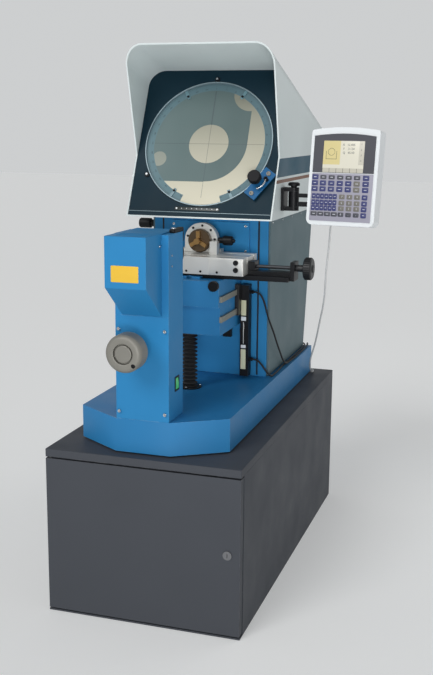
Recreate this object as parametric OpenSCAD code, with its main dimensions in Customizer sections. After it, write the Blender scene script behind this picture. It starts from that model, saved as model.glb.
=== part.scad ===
// Bench optical comparator with an inclined round screen, on a low cabinet.
// Millimetres, z up, floor at z = 0, the operator stands on the minus Y side.

/* [Cabinet] */
// Width of the cabinet
cabinet_w = 500; // [470:2:600]
// Depth of the cabinet
cabinet_d = 1042; // [1020:2:1200]
// Height of the cabinet
cabinet_h = 425; // [350:5:600]
// Thickness of the cabinet sheet
sheet_t = 2; // [1.5:0.5:3]
// Thickness of the cabinet floor
floor_t = 4; // [3:0.5:6]
// Height of the top tray
tray_h = 20; // [14:1:30]
// Thickness of the door
door_t = 22; // [18:1:28]
// Gap round the door
door_gap = 4; // [4:0.5:6]
// Width of the flange beside the door opening
flange_w = 16; // [12:1:20]
// Diameter of the door pins
door_pin_d = 6; // [4:0.5:8]
// Diameter of the lock barrel
lock_d = 16; // [12:1:20]
// Distance of the lock from the right side
lock_in = 32; // [30:1:45]
// How far the instrument stands left of the cabinet's middle
stand_shift = 6; // [0:1:15]

/* [Base] */
// Width of the base casting
base_w = 387; // [380:1:420]
// Length of the base casting
base_l = 965; // [950:1:985]
// Height of the base casting
base_h = 82.5; // [70:0.5:110]
// Width of the base at its nose
nose_w = 139; // [136:1:180]
// Length of the nose bevel
nose_l = 81; // [60:1:110]
// Wall of the base casting
base_wall = 14; // [10:1:18]
// Height of the rubber feet
foot_h = 4; // [3:0.5:10]
// Distance of the base from the cabinet's front
base_setback = 30.5; // [25:0.5:38]

/* [Lamp column] */
// Width of the column
column_w = 134; // [130:1:136]
// Depth of the column
column_d = 97; // [90:1:110]
// Height of the column
column_h = 443.5; // [440:0.5:446]
// Wall of the column
column_wall = 4; // [3:0.5:5]
// Thickness of the front cover
cover_t = 3; // [2:0.5:4]
// Width of the lamp house
lamp_w = 100; // [90:1:110]
// How far the lamp house stands forward
lamp_out = 97; // [85:1:110]
// Height of the lamp house's front
lamp_face_h = 117; // [100:1:125]
// Height of the lamp house at the column
lamp_back_h = 195; // [185:1:200]
// Wall of the lamp house
lamp_wall = 3; // [2:0.5:4]
// Outer diameter of the condenser barrel
condenser_d = 100; // [92:1:102]
// How far the condenser stands out behind
condenser_out = 56; // [50:1:110]

/* [Elevation] */
// Diameter of the elevation handwheel
wheel_d = 90; // [80:1:110]
// Height of the handwheel's axis above the base
wheel_h = 180.5; // [160:0.5:195]
// Sideways place of the handwheel
wheel_x = -8; // [-12:1:12]
// How far the handwheel's face stands from the column
wheel_out = 97.5; // [80:0.5:105]
// Depth of the handwheel's drum
wheel_depth = 46; // [36:1:50]
// Diameter of the handwheel's shaft
wheel_shaft_d = 16; // [12:1:20]
// Diameter of the elevation screw
screw_d = 18; // [14:1:20]
// Distance of the elevation screw behind the knee's front
screw_in = 36; // [30:0.5:44]
// Outer diameter of the bellows
bellows_d = 44; // [42:1:48]

/* [Knee] */
// Width of the knee
knee_w = 184; // [176:1:188]
// Height of the knee's underside above the base
knee_low = 150.5; // [140:0.5:156]
// Gap between the chuck and the table under it
chuck_clear = 2; // [1.5:0.5:6]
// Depth of the knee from the body
knee_d = 208; // [200:1:215]
// Width of a guide rail
rail_w = 24; // [20:1:28]
// Depth of a guide rail
rail_d = 14; // [12:1:16]
// Sideways place of the guide rails
rail_x = 55; // [52:1:58]

/* [Stage] */
// Length of the work table
table_l = 294; // [286:1:300]
// Width of the work table
table_w = 130; // [124:1:134]
// Thickness of the work table
table_t = 46; // [44:0.5:48]
// Distance from the body's front to the table's middle
table_y = 111; // [110:0.5:114]
// Thickness of the saddle plate
saddle_t = 12; // [11:0.5:14]
// Width of the saddle
saddle_w = 94; // [88:1:98]
// Height of the cross tongue
tongue_h = 10; // [8:0.5:11]
// Width of the cross tongue
tongue_w = 40; // [36:1:44]
// Saddle reach to the right
saddle_r = 262; // [262:1:270]
// Saddle reach to the left
saddle_l = 205; // [190:1:215]
// Diameter of the cross feed screw
feed_d = 10; // [8:0.5:12]
// Diameter of the cross feed wheel
feed_wheel_d = 57; // [48:1:62]
// Diameter of the focus knob
focus_d = 26; // [20:1:28]

/* [Fixture] */
// Width of the rotary fixture
fixture_w = 92; // [84:1:98]
// Thickness of the fixture's upright
fixture_t = 20; // [16:1:22]
// Diameter of the chuck
chuck_d = 62; // [54:1:66]
// Diameter of the fixture's drive knob
fixture_knob_d = 25; // [20:1:30]

/* [Body and optics] */
// Distance of the body behind the base's front
body_back_by = 508.5; // [506:0.5:511]
// Width of the body shell
body_w = 330; // [324:1:334]
// Height of the body
body_h = 445.5; // [443:0.5:452]
// Depth of the body at the base
body_d = 439; // [425:1:445]
// Depth of the body at the top
body_top_d = 527; // [515:1:540]
// Wall of the body shell
body_wall = 4; // [3:0.5:5]
// Thickness of the grey side panels
side_t = 6; // [4:0.5:8]
// Thickness of the front panel
front_t = 3; // [2:0.5:4]
// Width of the front panel
front_w = 272; // [260:1:280]
// Height of the optical axis above the base
axis_h = 385.5; // [383:0.5:388]
// Diameter of the lens tube
lens_d = 48; // [42:1:52]
// Diameter of the lens bell
bell_d = 62; // [56:1:63]
// Side of the square mirror
mirror_w = 240; // [200:5:270]
// Diameter of the lens focus knob
lens_knob_d = 28; // [22:1:32]

/* [Head] */
// Border of the screen panel beside the ring
panel_border = 24; // [21:0.5:30]
// Thickness of the head's sheet
head_t = 4; // [3:0.5:5]
// Corner radius of the hood
head_r = 50; // [40:1:60]
// Height of the lip under the screen panel
lip_h = 14.5; // [12:0.5:18]
// How far the panel's foot stands in front of the body
panel_out = 107; // [100:1:112]
// Lean of the screen panel in degrees
panel_lean = 24.77; // [23:0.1:26]
// How far the head's side edge turns forward below the screen's middle
kink_drop = 36.8; // [30:0.2:46]
// How far the hood's front edge runs on past the ring's radius
hood_past = 120.5; // [112:0.5:130]
// Forward lean of the hood in degrees
hood_lean = 15.65; // [13:0.1:17]
// Fall of the roof in degrees
roof_fall = 16.7; // [15:0.1:18]
// Thickness of the screen panel
panel_t = 4; // [3:0.5:5]

/* [Screen] */
// Outer diameter of the screen ring
ring_d = 359; // [350:1:362]
// Wall of the screen ring
ring_wall = 3.2; // [2.6:0.1:4]
// Thickness of the ground glass
glass_t = 4; // [3:0.5:5]
// Border of the screen panel under the ring
ring_low = 19.3; // [17.5:0.1:22.5]
// Diameter of the guide rollers
roller_d = 14; // [12:1:16]
// Diameter of the screen drive knob
drive_d = 34; // [28:1:38]
// Angle of the screen drive in degrees
drive_angle = -35.4; // [-40:0.2:-30]

/* [Display] */
// Width of the display
display_w = 184; // [170:1:190]
// Height of the display
display_h = 250; // [238:1:258]
// Depth of the display
display_d = 45; // [38:1:50]
// How far the display's middle stands out from the head's side
display_out = 174.5; // [170.5:0.5:180.5]
// Display turn in degrees
display_turn = -9.7; // [-12:0.1:-8]
// Display tilt in degrees
display_tilt = 7.2; // [5:0.1:9]
// Height of the display's middle above the body
display_up = 117; // [110:1:124]
// Height of the arm above the body's top
arm_up = 46; // [42:1:50]

/* [Fits] */
// Radial clearance of a running fit
run_fit = 0.05; // [0.03:0.01:0.08]
// Gap between sliding faces
slide_gap = 0.3; // [0.25:0.05:0.5]
// Radial clearance of a fixed fit
seat_fit = 0.1; // [0.05:0.05:0.2]

/* [Hidden] */
$fn = 64;
cab_l = stand_shift - cabinet_w / 2;
cab_r = stand_shift + cabinet_w / 2;
cab_f = -cabinet_d / 2;
cab_b = cabinet_d / 2;
box_f = cab_f + door_t + door_gap;
tray_z = cabinet_h - tray_h;
tray_skin = 3;
door_low = floor_t + door_gap;
door_top = tray_z - door_gap;
door_edge = 1;
door_stile = 18;
door_rail = 14;
pin_in = 10;
hinge_x = cab_l + door_edge + 8;
hinge_y = cab_f + door_t / 2;
lock_x = cab_r - lock_in;
lock_z = cabinet_h / 2;
cam_y = box_f + sheet_t + 1.5;
cam_t = 3;
cam_l = lock_in - sheet_t - 5;

base_z = cabinet_h + foot_h;
deck = base_z + base_h;
base_f = cab_f + base_setback;
base_b = base_f + base_l;
foot_r = 16;
foot_front = [nose_w / 2 - 24, base_f + 26];
foot_rear = [base_w / 2 - 26, base_b - 26];

column_b = base_f + column_d;
column_top = deck + column_h;
lamp_top = column_top + 4;
lamp_low = lamp_top - lamp_back_h;
lamp_face = lamp_top - lamp_face_h;
lamp_f = base_f - lamp_out;
lamp_rake = norm([lamp_out, lamp_face - lamp_low]) / lamp_out;
axis_z = deck + axis_h;
condenser_e = column_b + condenser_out;
condenser_lip = 12;
lens_bulge = 8;
socket_l = 30;
bulb_r = 10;
cover_flange = 15;
switch_y = base_f + 54;
switch_z = deck + 84;
switch_w = 20;
switch_h = 28;
rocker_in = 12;

wheel_z = deck + wheel_h;
wheel_in = 50;
bush_h = 10;
bush_r = wheel_shaft_d / 2 + 6;
screw_top = deck + 204;
screw_boss = 26;
bellows_foot = 6;
bellows_wall = 1.2;
bellows_n = 13;

body_f = base_f + body_back_by;
head_low = deck + body_h;
knee_b = body_f - 8;
knee_f = knee_b - knee_d + 8;
screw_y = knee_f + screw_in;
knee_step = 12;
knee_z0 = deck + knee_low;
knee_z1 = axis_z - chuck_d / 2 - chuck_clear - table_t - saddle_t;
knee_split = deck + 226;
knee_tongue_w = 60;
knee_tongue_h = 6;
rail_low = deck + 110;
rail_high = axis_z - 48;

saddle_y = body_f - table_y;
saddle_z0 = knee_z1 + slide_gap;
saddle_z1 = knee_z1 + saddle_t;
table_z0 = saddle_z1 + slide_gap;
table_z1 = saddle_z1 + table_t;
bracket_t = 10;
feed_z = saddle_z1 + 20;
feed_left = -60;
nut_l = 18;
focus_x = 82;
focus_z = knee_z1 - 10;
focus_in = 50;

fixture_y = saddle_y + 51;
fixture_foot = 10;
spindle_d = 24;
chuck_t = 18;

scale_x0 = 100;
scale_x1 = 124;
scale_f = body_f - 38;
scale_b = body_f - 10;
scale_z0 = deck + 8;
scale_z1 = deck + 262;

head_bar_low = 40;
head_bar_up = 13;
head_bar_in = 6;
head_bar_t = 6;
head_bar_h = 15;
head_block_d = 20;
head_block_low = 44;
head_block_h = 86;
head_block_w = 11;

pinion_r = 6;
pinion_y = body_f + 22;
pinion_z = axis_z + lens_d / 2 + slide_gap + pinion_r;
lens_tip = body_f - 30;
lens_end = body_f + 120;
bell_l = 13;
pad_d = 8;

head_w = ring_d + 2 * panel_border;
screen_up = ring_d / 2 + ring_low;
edge_low = screen_up - kink_drop;
hood_l = ring_d / 2 + hood_past;
back_run = body_top_d - body_d;
back_slope = atan(back_run / body_h);
head_b = body_f + body_top_d;
lip = [body_f - panel_out - 6, head_low];
foot = [body_f - panel_out, head_low + lip_h];
kink = foot + edge_low * [sin(panel_lean), cos(panel_lean)];
crest = kink + hood_l * [-sin(hood_lean), cos(hood_lean)];
roof_back = [head_b, crest[1] - (head_b - crest[0]) * tan(roof_fall)];
panel_set = 2;
glass_r = ring_d / 2 - ring_wall;
ring_front = 4;
ring_depth = 14;
roller_r = roller_d / 2;
roller_at = ring_d / 2 + slide_gap + roller_r;
drive_roller_r = 8;
drive_at = ring_d / 2 + slide_gap + drive_roller_r;
bracket_z = 7;
bracket_plate = 4;
knob_z0 = 30;
knob_z1 = 50;

arm_z = head_low + arm_up + 5;
arm_x = head_w / 2 + 30;
arm_y = body_f + 2;
ear_t = 10;
arm_gap = 41.2;
hub_r = 14;
arm_pin_r = 6;
display_x = head_w / 2 + display_out;
display_y = body_f - 75;
display_z = head_low + display_up;
tilt_back = 14;
film_low = 4;
tilt_low = -59;
arm_bar_w = 14;
arm_bar_up = [5, 10];
arm_bar_low = [-19, 12];
tilt_r = 11;
tilt_pin_r = 5;
hub_w = 30;
ear_w = 8;

// Point of the display's own frame in the shared frame
function at_display_point(p) =
    let (y1 = p[1] * cos(display_tilt) + p[2] * sin(display_tilt),
         z1 = -p[1] * sin(display_tilt) + p[2] * cos(display_tilt))
    [display_x + p[0] * cos(display_turn) - y1 * sin(display_turn),
     display_y + p[0] * sin(display_turn) + y1 * cos(display_turn),
     display_z + z1];
tilt_at = at_display_point([0, display_d + tilt_back, tilt_low]);
arm_end = tilt_at[0];
cable_x = arm_end - 50;

// Outline of the base, moved inwards
function base_outline(i) =
    let (dx = (base_w - nose_w) / 2,
         len = norm([dx, nose_l]),
         ux = dx / len,
         uy = nose_l / len,
         t0 = i * (1 - ux) / uy,
         x0 = nose_w / 2 - i * uy + t0 * ux,
         t1 = (dx - i + i * uy) / ux,
         y1 = base_f + i * ux + t1 * uy)
    [[-x0, base_f + i], [x0, base_f + i], [base_w / 2 - i, y1], [base_w / 2 - i, base_b - i],
     [-base_w / 2 + i, base_b - i], [-base_w / 2 + i, y1]];

// A side view in y and z, drawn out across the machine
module side_extrude(w) {
    rotate([90, 0, 90]) translate([0, 0, -w / 2]) linear_extrude(w) children();
}

// A rectangle with round corners about its middle
module round_rect(w, h, r) {
    square([w - 2 * r, h], center = true);
    square([w, h - 2 * r], center = true);
    for (x = [-1, 1], y = [-1, 1]) translate([x * (w / 2 - r), y * (h / 2 - r)]) circle(r);
}

// A plate whose two upper corners are round, hanging below its top line
module arch_2d(w, h, r) {
    translate([-w / 2, -h]) square([w, h - r]);
    translate([-w / 2 + r, -h]) square([w - 2 * r, h]);
    for (x = [-1, 1]) translate([x * (w / 2 - r), -r]) circle(r);
}

// Forward facing frame: local z points to the operator
module facing(x, y, z) {
    translate([x, y, z]) rotate([90, 0, 0]) children();
}

// Frame of the screen: local z is the screen's normal, local y runs up the panel
module at_panel() {
    translate([0, foot[0], foot[1]]) rotate([90 - panel_lean, 0, 0]) children();
}

module at_screen() {
    at_panel() translate([0, screen_up, -panel_set]) children();
}

// Frame of the display: local y points backwards from its face
module at_display() {
    translate([display_x, display_y, display_z]) rotate([0, 0, display_turn])
        rotate([-display_tilt, 0, 0]) children();
}

// Space inside the head, shrunk by a gap
module head_inside(gap) {
    in = head_t + gap;
    intersection() {
        translate([0, crest[0], crest[1]]) rotate([-roof_fall, 0, 0])
            translate([0, 900, -in]) rotate([90, 0, 0]) linear_extrude(1200)
            arch_2d(head_w - 2 * in, 900, head_r - in);
        translate([-head_w / 2, lip[0] - 200, head_low + in])
            cube([head_w, head_b - in - lip[0] + 200, 800]);
    }
}

// Cords: round points joined by a smooth curve
function mix(a, b, c, d, t) = 0.5 * ((2 * b) + (c - a) * t + (2 * a - 5 * b + 4 * c - d) * t * t
    + (3 * b - a - 3 * c + d) * t * t * t);
function curve(p, k) = let (n = len(p)) [for (i = [0 : n - 2]) for (j = [0 : k - 1])
    mix(p[max(i - 1, 0)], p[i], p[i + 1], p[min(i + 2, n - 1)], j / k), p[n - 1]];
function unit(v) = v / norm(v);
function along(p, i) = unit(p[min(i + 1, len(p) - 1)] - p[max(i - 1, 0)]);
function across(p, i, v) = let (t = along(p, i), w = unit(v - t * (v * t)))
    i == len(p) - 1 ? [w] : concat([w], across(p, i + 1, w));

module tube(p, r, sides, start) {
    n = len(p);
    side = across(p, 0, start);
    rings = [for (i = [0 : n - 1]) let (u = side[i], v = cross(along(p, i), u)) for (k = [0 : sides - 1])
        p[i] + r * (u * cos(360 * k / sides) + v * sin(360 * k / sides))];
    walls = [for (i = [0 : n - 2]) for (k = [0 : sides - 1])
        [i * sides + k, (i + 1) * sides + k, (i + 1) * sides + (k + 1) % sides, i * sides + (k + 1) % sides]];
    caps = [[for (k = [0 : sides - 1]) k], [for (k = [sides - 1 : -1 : 0]) (n - 1) * sides + k]];
    polyhedron(rings, concat(walls, caps));
}

cord_r = 2.5;
deck_lie = deck + cord_r + 0.6;
top_lie = cabinet_h + cord_r + 0.6;
gland_l = 8;
gland_r = 5;
upper_gland = [scale_x1, body_f - 20, scale_z1 - 20];
lower_gland = [scale_x1, body_f - 20, scale_z0 + 45];
base_gland_a = [base_w / 2 - 20, base_b, deck - 34];
base_gland_b = [base_w / 2 - 38, base_b, deck - 34];
base_gland_c = [base_w / 2 - 70, base_b, deck - 50];
edge_x = base_w / 2 - 7;
scale_path_a = [upper_gland + [gland_l, 0, 0], upper_gland + [17, 0, -0.5], upper_gland + [26, 1, -5.5],
    upper_gland + [33, 3, -16], upper_gland + [39, 5.5, -33], upper_gland + [47, 10, -66],
    upper_gland + [58, 30, -112], upper_gland + [60, 64, -150], upper_gland + [60, 104, -186],
    [edge_x - 3, body_f + 128, deck_lie + 18], [edge_x - 2.5, body_f + 156, deck_lie + 4],
    [edge_x - 2, body_f + 196, deck_lie + 0.5], [edge_x, body_f + 250, deck_lie],
    [edge_x, body_f + 320, deck_lie], [edge_x - 0.5, body_f + 380, deck_lie],
    [edge_x - 2, base_b - 30, deck_lie + 0.3], [edge_x - 5, base_b - 6, deck_lie + 0.3],
    [edge_x - 9, base_b + 12, deck_lie], [edge_x - 12, base_b + 22, deck_lie - 4.1],
    [edge_x - 13, base_b + 27, deck_lie - 14], [edge_x - 13, base_b + 27, deck - 22],
    [edge_x - 13, base_b + 23.5, deck - 30.5], [edge_x - 13, base_b + 15, deck - 34],
    base_gland_a + [0, gland_l, 0]];
scale_path_b = [lower_gland + [gland_l, 0, 0], lower_gland + [17, 0, -0.5], lower_gland + [26, 0.5, -5.5],
    lower_gland + [34, 2, -15], lower_gland + [43, 5, -28], lower_gland + [51, 10, -40],
    lower_gland + [56, 20, -47.5], [edge_x - 4, body_f + 30, deck_lie + 0.8],
    [edge_x - 5, body_f + 70, deck_lie], [edge_x - 8, body_f + 130, deck_lie],
    [edge_x - 9, body_f + 200, deck_lie], [edge_x - 8, body_f + 270, deck_lie],
    [edge_x - 9, body_f + 350, deck_lie], [edge_x - 11, base_b - 30.5, deck_lie + 0.3],
    [edge_x - 12.8, base_b - 12.5, deck_lie + 0.3], [edge_x - 19.5, base_b + 5.5, deck_lie],
    [edge_x - 27, base_b + 18.5, deck_lie - 3], [edge_x - 31, base_b + 27, deck_lie - 14],
    [edge_x - 31, base_b + 27, deck - 22], [edge_x - 31, base_b + 23.5, deck - 30.5],
    [edge_x - 31, base_b + 15, deck - 34], base_gland_b + [0, gland_l, 0]];
hang = [cable_x, arm_y, arm_z - 20];
display_path = [hang, hang + [0, 0, -16], hang + [0, 0, -34], [cable_x - 2, arm_y + 2, head_low - 40],
    [cable_x - 6, arm_y + 8, head_low - 84], [cable_x - 12, arm_y + 18, head_low - 130],
    [cable_x - 24, arm_y + 56, head_low - 226], [cable_x - 46, arm_y + 112, head_low - 300],
    [cable_x - 76, arm_y + 200, head_low - 380], [cable_x - 112, arm_y + 300, head_low - 462],
    [base_w / 2 + 15, base_b - 70, cabinet_h + 22], [base_w / 2 + 11, base_b - 26, top_lie + 3.2],
    [base_w / 2 + 4, base_b + 10, top_lie + 0.4], [base_w / 2 - 12, base_b + 31, top_lie],
    [base_w / 2 - 36, base_b + 38, top_lie + 1.6], [base_w / 2 - 56, base_b + 36, top_lie + 12],
    [base_w / 2 - 67.5, base_b + 27, base_gland_c[2] - 4.5], base_gland_c + [0, gland_l + 9, 0],
    base_gland_c + [0, gland_l, 0]];

module cabinet_sides() {
    color([0.37, 0.38, 0.4]) for (s = [0, 1]) {
        x = s == 0 ? cab_l : cab_r - sheet_t;
        translate([x, box_f + sheet_t, floor_t]) cube([sheet_t, cab_b - box_f - sheet_t, tray_z - floor_t]);
    }
}

module door_jambs() {
    color([0.37, 0.38, 0.4]) for (x = [cab_l, cab_r - flange_w]) translate([x, box_f, floor_t])
        cube([flange_w, sheet_t, tray_z - floor_t]);
}

module cabinet_back() {
    color([0.37, 0.38, 0.4]) translate([cab_l + sheet_t, cab_b - sheet_t, floor_t])
        cube([cabinet_w - 2 * sheet_t, sheet_t, tray_z - floor_t]);
}

module cabinet_floor() {
    color([0.34, 0.35, 0.37]) translate([cab_l, cab_f + door_edge, 0])
        cube([cabinet_w, cabinet_d - door_edge, floor_t]);
}

module cabinet_top() {
    color([0.4, 0.41, 0.43]) difference() {
        translate([cab_l, cab_f, tray_z]) cube([cabinet_w, cabinet_d, tray_h]);
        translate([cab_l + sheet_t, cab_f + sheet_t, tray_z - 1])
            cube([cabinet_w - 2 * sheet_t, cabinet_d - 2 * sheet_t, tray_h + 1 - tray_skin]);
    }
}

module cabinet_door() {
    left = cab_l + door_edge;
    wide = cabinet_w - 2 * door_edge;
    high = door_top - door_low;
    color([0.37, 0.38, 0.4]) difference() {
        translate([left, cab_f, door_low]) cube([wide, door_t, high]);
        translate([left + door_stile, cab_f + sheet_t, door_low + door_rail])
            cube([wide - door_stile - 3, door_t, high - 2 * door_rail]);
        for (z = [door_low - 1, door_top - pin_in - 1]) translate([hinge_x, hinge_y, z])
            cylinder(d = door_pin_d + 2 * run_fit, h = pin_in + 2);
        facing(lock_x, cab_f + sheet_t + 1, lock_z) cylinder(d = lock_d + 2 * run_fit, h = sheet_t + 2);
    }
}

module door_pins() {
    color([0.6, 0.6, 0.62]) translate([hinge_x, hinge_y, 0]) {
        translate([0, 0, floor_t]) cylinder(d = door_pin_d, h = door_gap + pin_in);
        translate([0, 0, door_top - pin_in])
            cylinder(d = door_pin_d, h = pin_in + door_gap + tray_h - tray_skin);
    }
}

module door_lock() {
    color([0.72, 0.72, 0.74]) {
        difference() {
            union() {
                facing(lock_x, cam_y + cam_t, lock_z) cylinder(d = lock_d, h = cam_y + cam_t - cab_f + 3);
                facing(lock_x, cab_f - slide_gap, lock_z) cylinder(d = lock_d + 6, h = 2.6);
            }
            translate([lock_x - 1, cab_f - 4, lock_z - 5]) cube([2, 4, 10]);
        }
        translate([lock_x - 7, cam_y, lock_z - cam_l]) cube([14, cam_t, cam_l]);
    }
}

module base_casting() {
    color([0.2, 0.53, 0.76]) difference() {
        union() {
            difference() {
                translate([0, 0, base_z]) linear_extrude(base_h) polygon(base_outline(0));
                translate([0, 0, base_z - 1]) linear_extrude(base_h + 1 - base_wall)
                    polygon(base_outline(base_wall));
            }
            for (s = [-1, 1], p = [foot_front, foot_rear]) translate([s * p[0], p[1], base_z])
                cylinder(r = foot_r + 4, h = base_h - 1);
            translate([0, screw_y, deck - base_wall - screw_boss])
                cylinder(d = screw_d + 30, h = screw_boss + base_wall - 1);
            for (p = [base_gland_a, base_gland_b, base_gland_c]) facing(p[0], p[1] + gland_l, p[2])
                cylinder(r = gland_r, h = gland_l + 1);
        }
        translate([0, screw_y, deck - 80]) cylinder(d = screw_d + 2 * run_fit, h = 100);
    }
}

module base_feet() {
    color([0.1, 0.1, 0.1]) for (s = [-1, 1], p = [foot_front, foot_rear])
        translate([s * p[0], p[1], cabinet_h]) cylinder(r = foot_r, h = foot_h);
}

module lamp_column() {
    color([0.2, 0.53, 0.76]) difference() {
        union() {
            translate([-column_w / 2, base_f + cover_t, deck])
                cube([column_w, column_d - cover_t, column_h]);
            translate([-column_w / 2, base_f, lamp_low])
                cube([column_w, cover_t + 1, column_top - lamp_low]);
        }
        translate([-column_w / 2 + column_wall, base_f + cover_t + column_wall, deck - 1])
            cube([column_w - 2 * column_wall, column_d - cover_t - 2 * column_wall,
                column_h + 1 - column_wall]);
        translate([-column_w / 2 + cover_flange, base_f + cover_t - 1, deck + cover_flange])
            cube([column_w - 2 * cover_flange, column_wall + 2, lamp_low - deck - 2 * cover_flange]);
        translate([-lamp_w / 2 + lamp_wall, base_f - 1, lamp_low + 10])
            cube([lamp_w - 2 * lamp_wall, cover_t + column_wall + 2,
                column_top - column_wall - lamp_low - 10]);
        facing(0, column_b + 1, axis_z)
            cylinder(d = condenser_d - 4 + 2 * seat_fit, h = column_wall + 2);
        translate([column_w / 2 - column_wall - 1, switch_y - switch_w / 2, switch_z - switch_h / 2])
            cube([column_wall + 2, switch_w, switch_h]);
    }
}

module column_cover() {
    color([0.22, 0.56, 0.8]) difference() {
        translate([-column_w / 2, base_f, deck]) cube([column_w, cover_t, lamp_low - deck]);
        facing(wheel_x, base_f + cover_t + 1, wheel_z)
            cylinder(r = bush_r - 3 + seat_fit, h = cover_t + 2);
    }
}

module lamp_house() {
    color([0.22, 0.56, 0.8]) difference() {
        side_extrude(lamp_w) polygon([[lamp_f, lamp_face], [lamp_f, lamp_top], [column_b, lamp_top],
            [column_b, column_top], [base_f, column_top], [base_f, lamp_low]]);
        side_extrude(lamp_w - 2 * lamp_wall) polygon([
            [lamp_f + lamp_wall, lamp_face - (lamp_face - lamp_low) * lamp_wall / lamp_out + lamp_wall * lamp_rake],
            [lamp_f + lamp_wall, column_top], [base_f + 1, column_top],
            [base_f + 1, lamp_low + lamp_wall * lamp_rake]]);
        for (i = [0 : 4]) translate([-lamp_w / 2 + 18, lamp_f + 18 + i * 12, column_top - 1])
            cube([lamp_w - 36, 5, 10]);
    }
}

module lamp_socket() {
    color([0.86, 0.84, 0.8]) facing(0, lamp_f + lamp_wall + socket_l, axis_z) cylinder(r = 14, h = socket_l);
}

module lamp_bulb() {
    color([0.95, 0.95, 0.85]) {
        facing(0, lamp_f + lamp_wall + socket_l + 22, axis_z) cylinder(r = bulb_r, h = 22);
        translate([0, lamp_f + lamp_wall + socket_l + 22, axis_z]) sphere(r = bulb_r);
    }
}

module condenser_barrel() {
    r = condenser_d / 2;
    color([0.07, 0.07, 0.08]) facing(0, condenser_e, axis_z) rotate_extrude() polygon([
        [r - 8, 0], [r, 0], [r, condenser_out - 6], [r + 5, condenser_out - 6], [r + 5, condenser_out],
        [r - 2, condenser_out], [r - 2, condenser_out + 24], [r - 5, condenser_out + 24],
        [r - 5, condenser_lip], [r - 8, condenser_lip]]);
}

module condenser_lens() {
    r = condenser_d / 2 - 5 - seat_fit;
    color([0.85, 0.92, 0.95]) facing(0, condenser_e - condenser_lip, axis_z) {
        cylinder(r = r, h = 6);
        translate([0, 0, 6]) cylinder(r1 = r, r2 = r * 0.55, h = lens_bulge);
    }
}

module power_switch() {
    x = column_w / 2;
    color([0.1, 0.6, 0.35]) difference() {
        translate([x - rocker_in, switch_y - switch_w / 2 + slide_gap, switch_z - switch_h / 2 + 1.2])
            cube([rocker_in + 2, switch_w - 2 * slide_gap, switch_h - 2.4]);
        translate([x + 2, switch_y - switch_w, switch_z]) rotate([0, -8, 0]) cube([10, 2 * switch_w, switch_h]);
    }
}

module elevation_handwheel() {
    r = wheel_d / 2;
    s = wheel_shaft_d / 2;
    b = wheel_out - wheel_depth;
    color([0.66, 0.65, 0.62]) difference() {
        facing(wheel_x, base_f, wheel_z) rotate_extrude() polygon([[0, -wheel_in], [s, -wheel_in],
            [s, bush_h + slide_gap], [2 * s, bush_h + slide_gap], [2 * s, b], [r - 4, b], [r, b + 4],
            [r, wheel_out - 11], [r - 1, wheel_out - 7], [r - 3, wheel_out - 4], [r - 6, wheel_out - 1.5],
            [r - 10, wheel_out], [r * 0.58, wheel_out], [r * 0.54, wheel_out - 1], [r * 0.52, wheel_out - 9],
            [r * 0.46, wheel_out - 9], [r * 0.45, wheel_out - 3], [r * 0.42, wheel_out - 2],
            [0, wheel_out - 2]]);
        facing(wheel_x + r * 0.56, base_f - wheel_out + 7, wheel_z - r * 0.56) cylinder(r = 5, h = 10);
    }
}

module handwheel_bush() {
    color([0.5, 0.5, 0.52]) facing(wheel_x, base_f, wheel_z) difference() {
        union() {
            cylinder(r = bush_r, h = bush_h);
            translate([0, 0, -cover_t - 8]) cylinder(r = bush_r - 3, h = cover_t + 8.5);
        }
        translate([0, 0, -cover_t - 9]) cylinder(d = wheel_shaft_d + 2 * run_fit, h = 40);
    }
}

module elevation_screw() {
    color([0.7, 0.7, 0.72]) translate([0, screw_y, 0]) {
        translate([0, 0, deck - base_wall - screw_boss - 12]) cylinder(d = screw_d, h = screw_top - deck
            + base_wall + screw_boss + 12);
        translate([0, 0, deck + slide_gap]) cylinder(d = screw_d + 6, h = 4);
        translate([0, 0, deck - base_wall - screw_boss - 12])
            cylinder(d1 = screw_d + 26, d2 = screw_d + 8, h = 12 - slide_gap);
    }
}

module bellows() {
    ro = bellows_d / 2;
    ri = ro - 6.5;
    z0 = deck + bellows_foot;
    z1 = knee_z0 - slide_gap;
    p = (z1 - z0) / (2 * bellows_n);
    outer = [for (i = [0 : 2 * bellows_n]) [i % 2 == 0 ? ri : ro, z0 + i * p]];
    inner = [for (i = [2 * bellows_n : -1 : 0]) [(i % 2 == 0 ? ri : ro) - bellows_wall, z0 + i * p]];
    color([0.06, 0.06, 0.07]) translate([0, screw_y, 0]) rotate_extrude()
        polygon(concat([[ro + 3, deck], [ro + 3, z0]], outer, inner, [[ri - bellows_wall, deck]]));
}

module guide_rails() {
    color([0.66, 0.67, 0.69]) for (s = [-1, 1])
        translate([s * rail_x - rail_w / 2, body_f - rail_d, rail_low])
            cube([rail_w, rail_d, rail_high - rail_low]);
}

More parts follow.
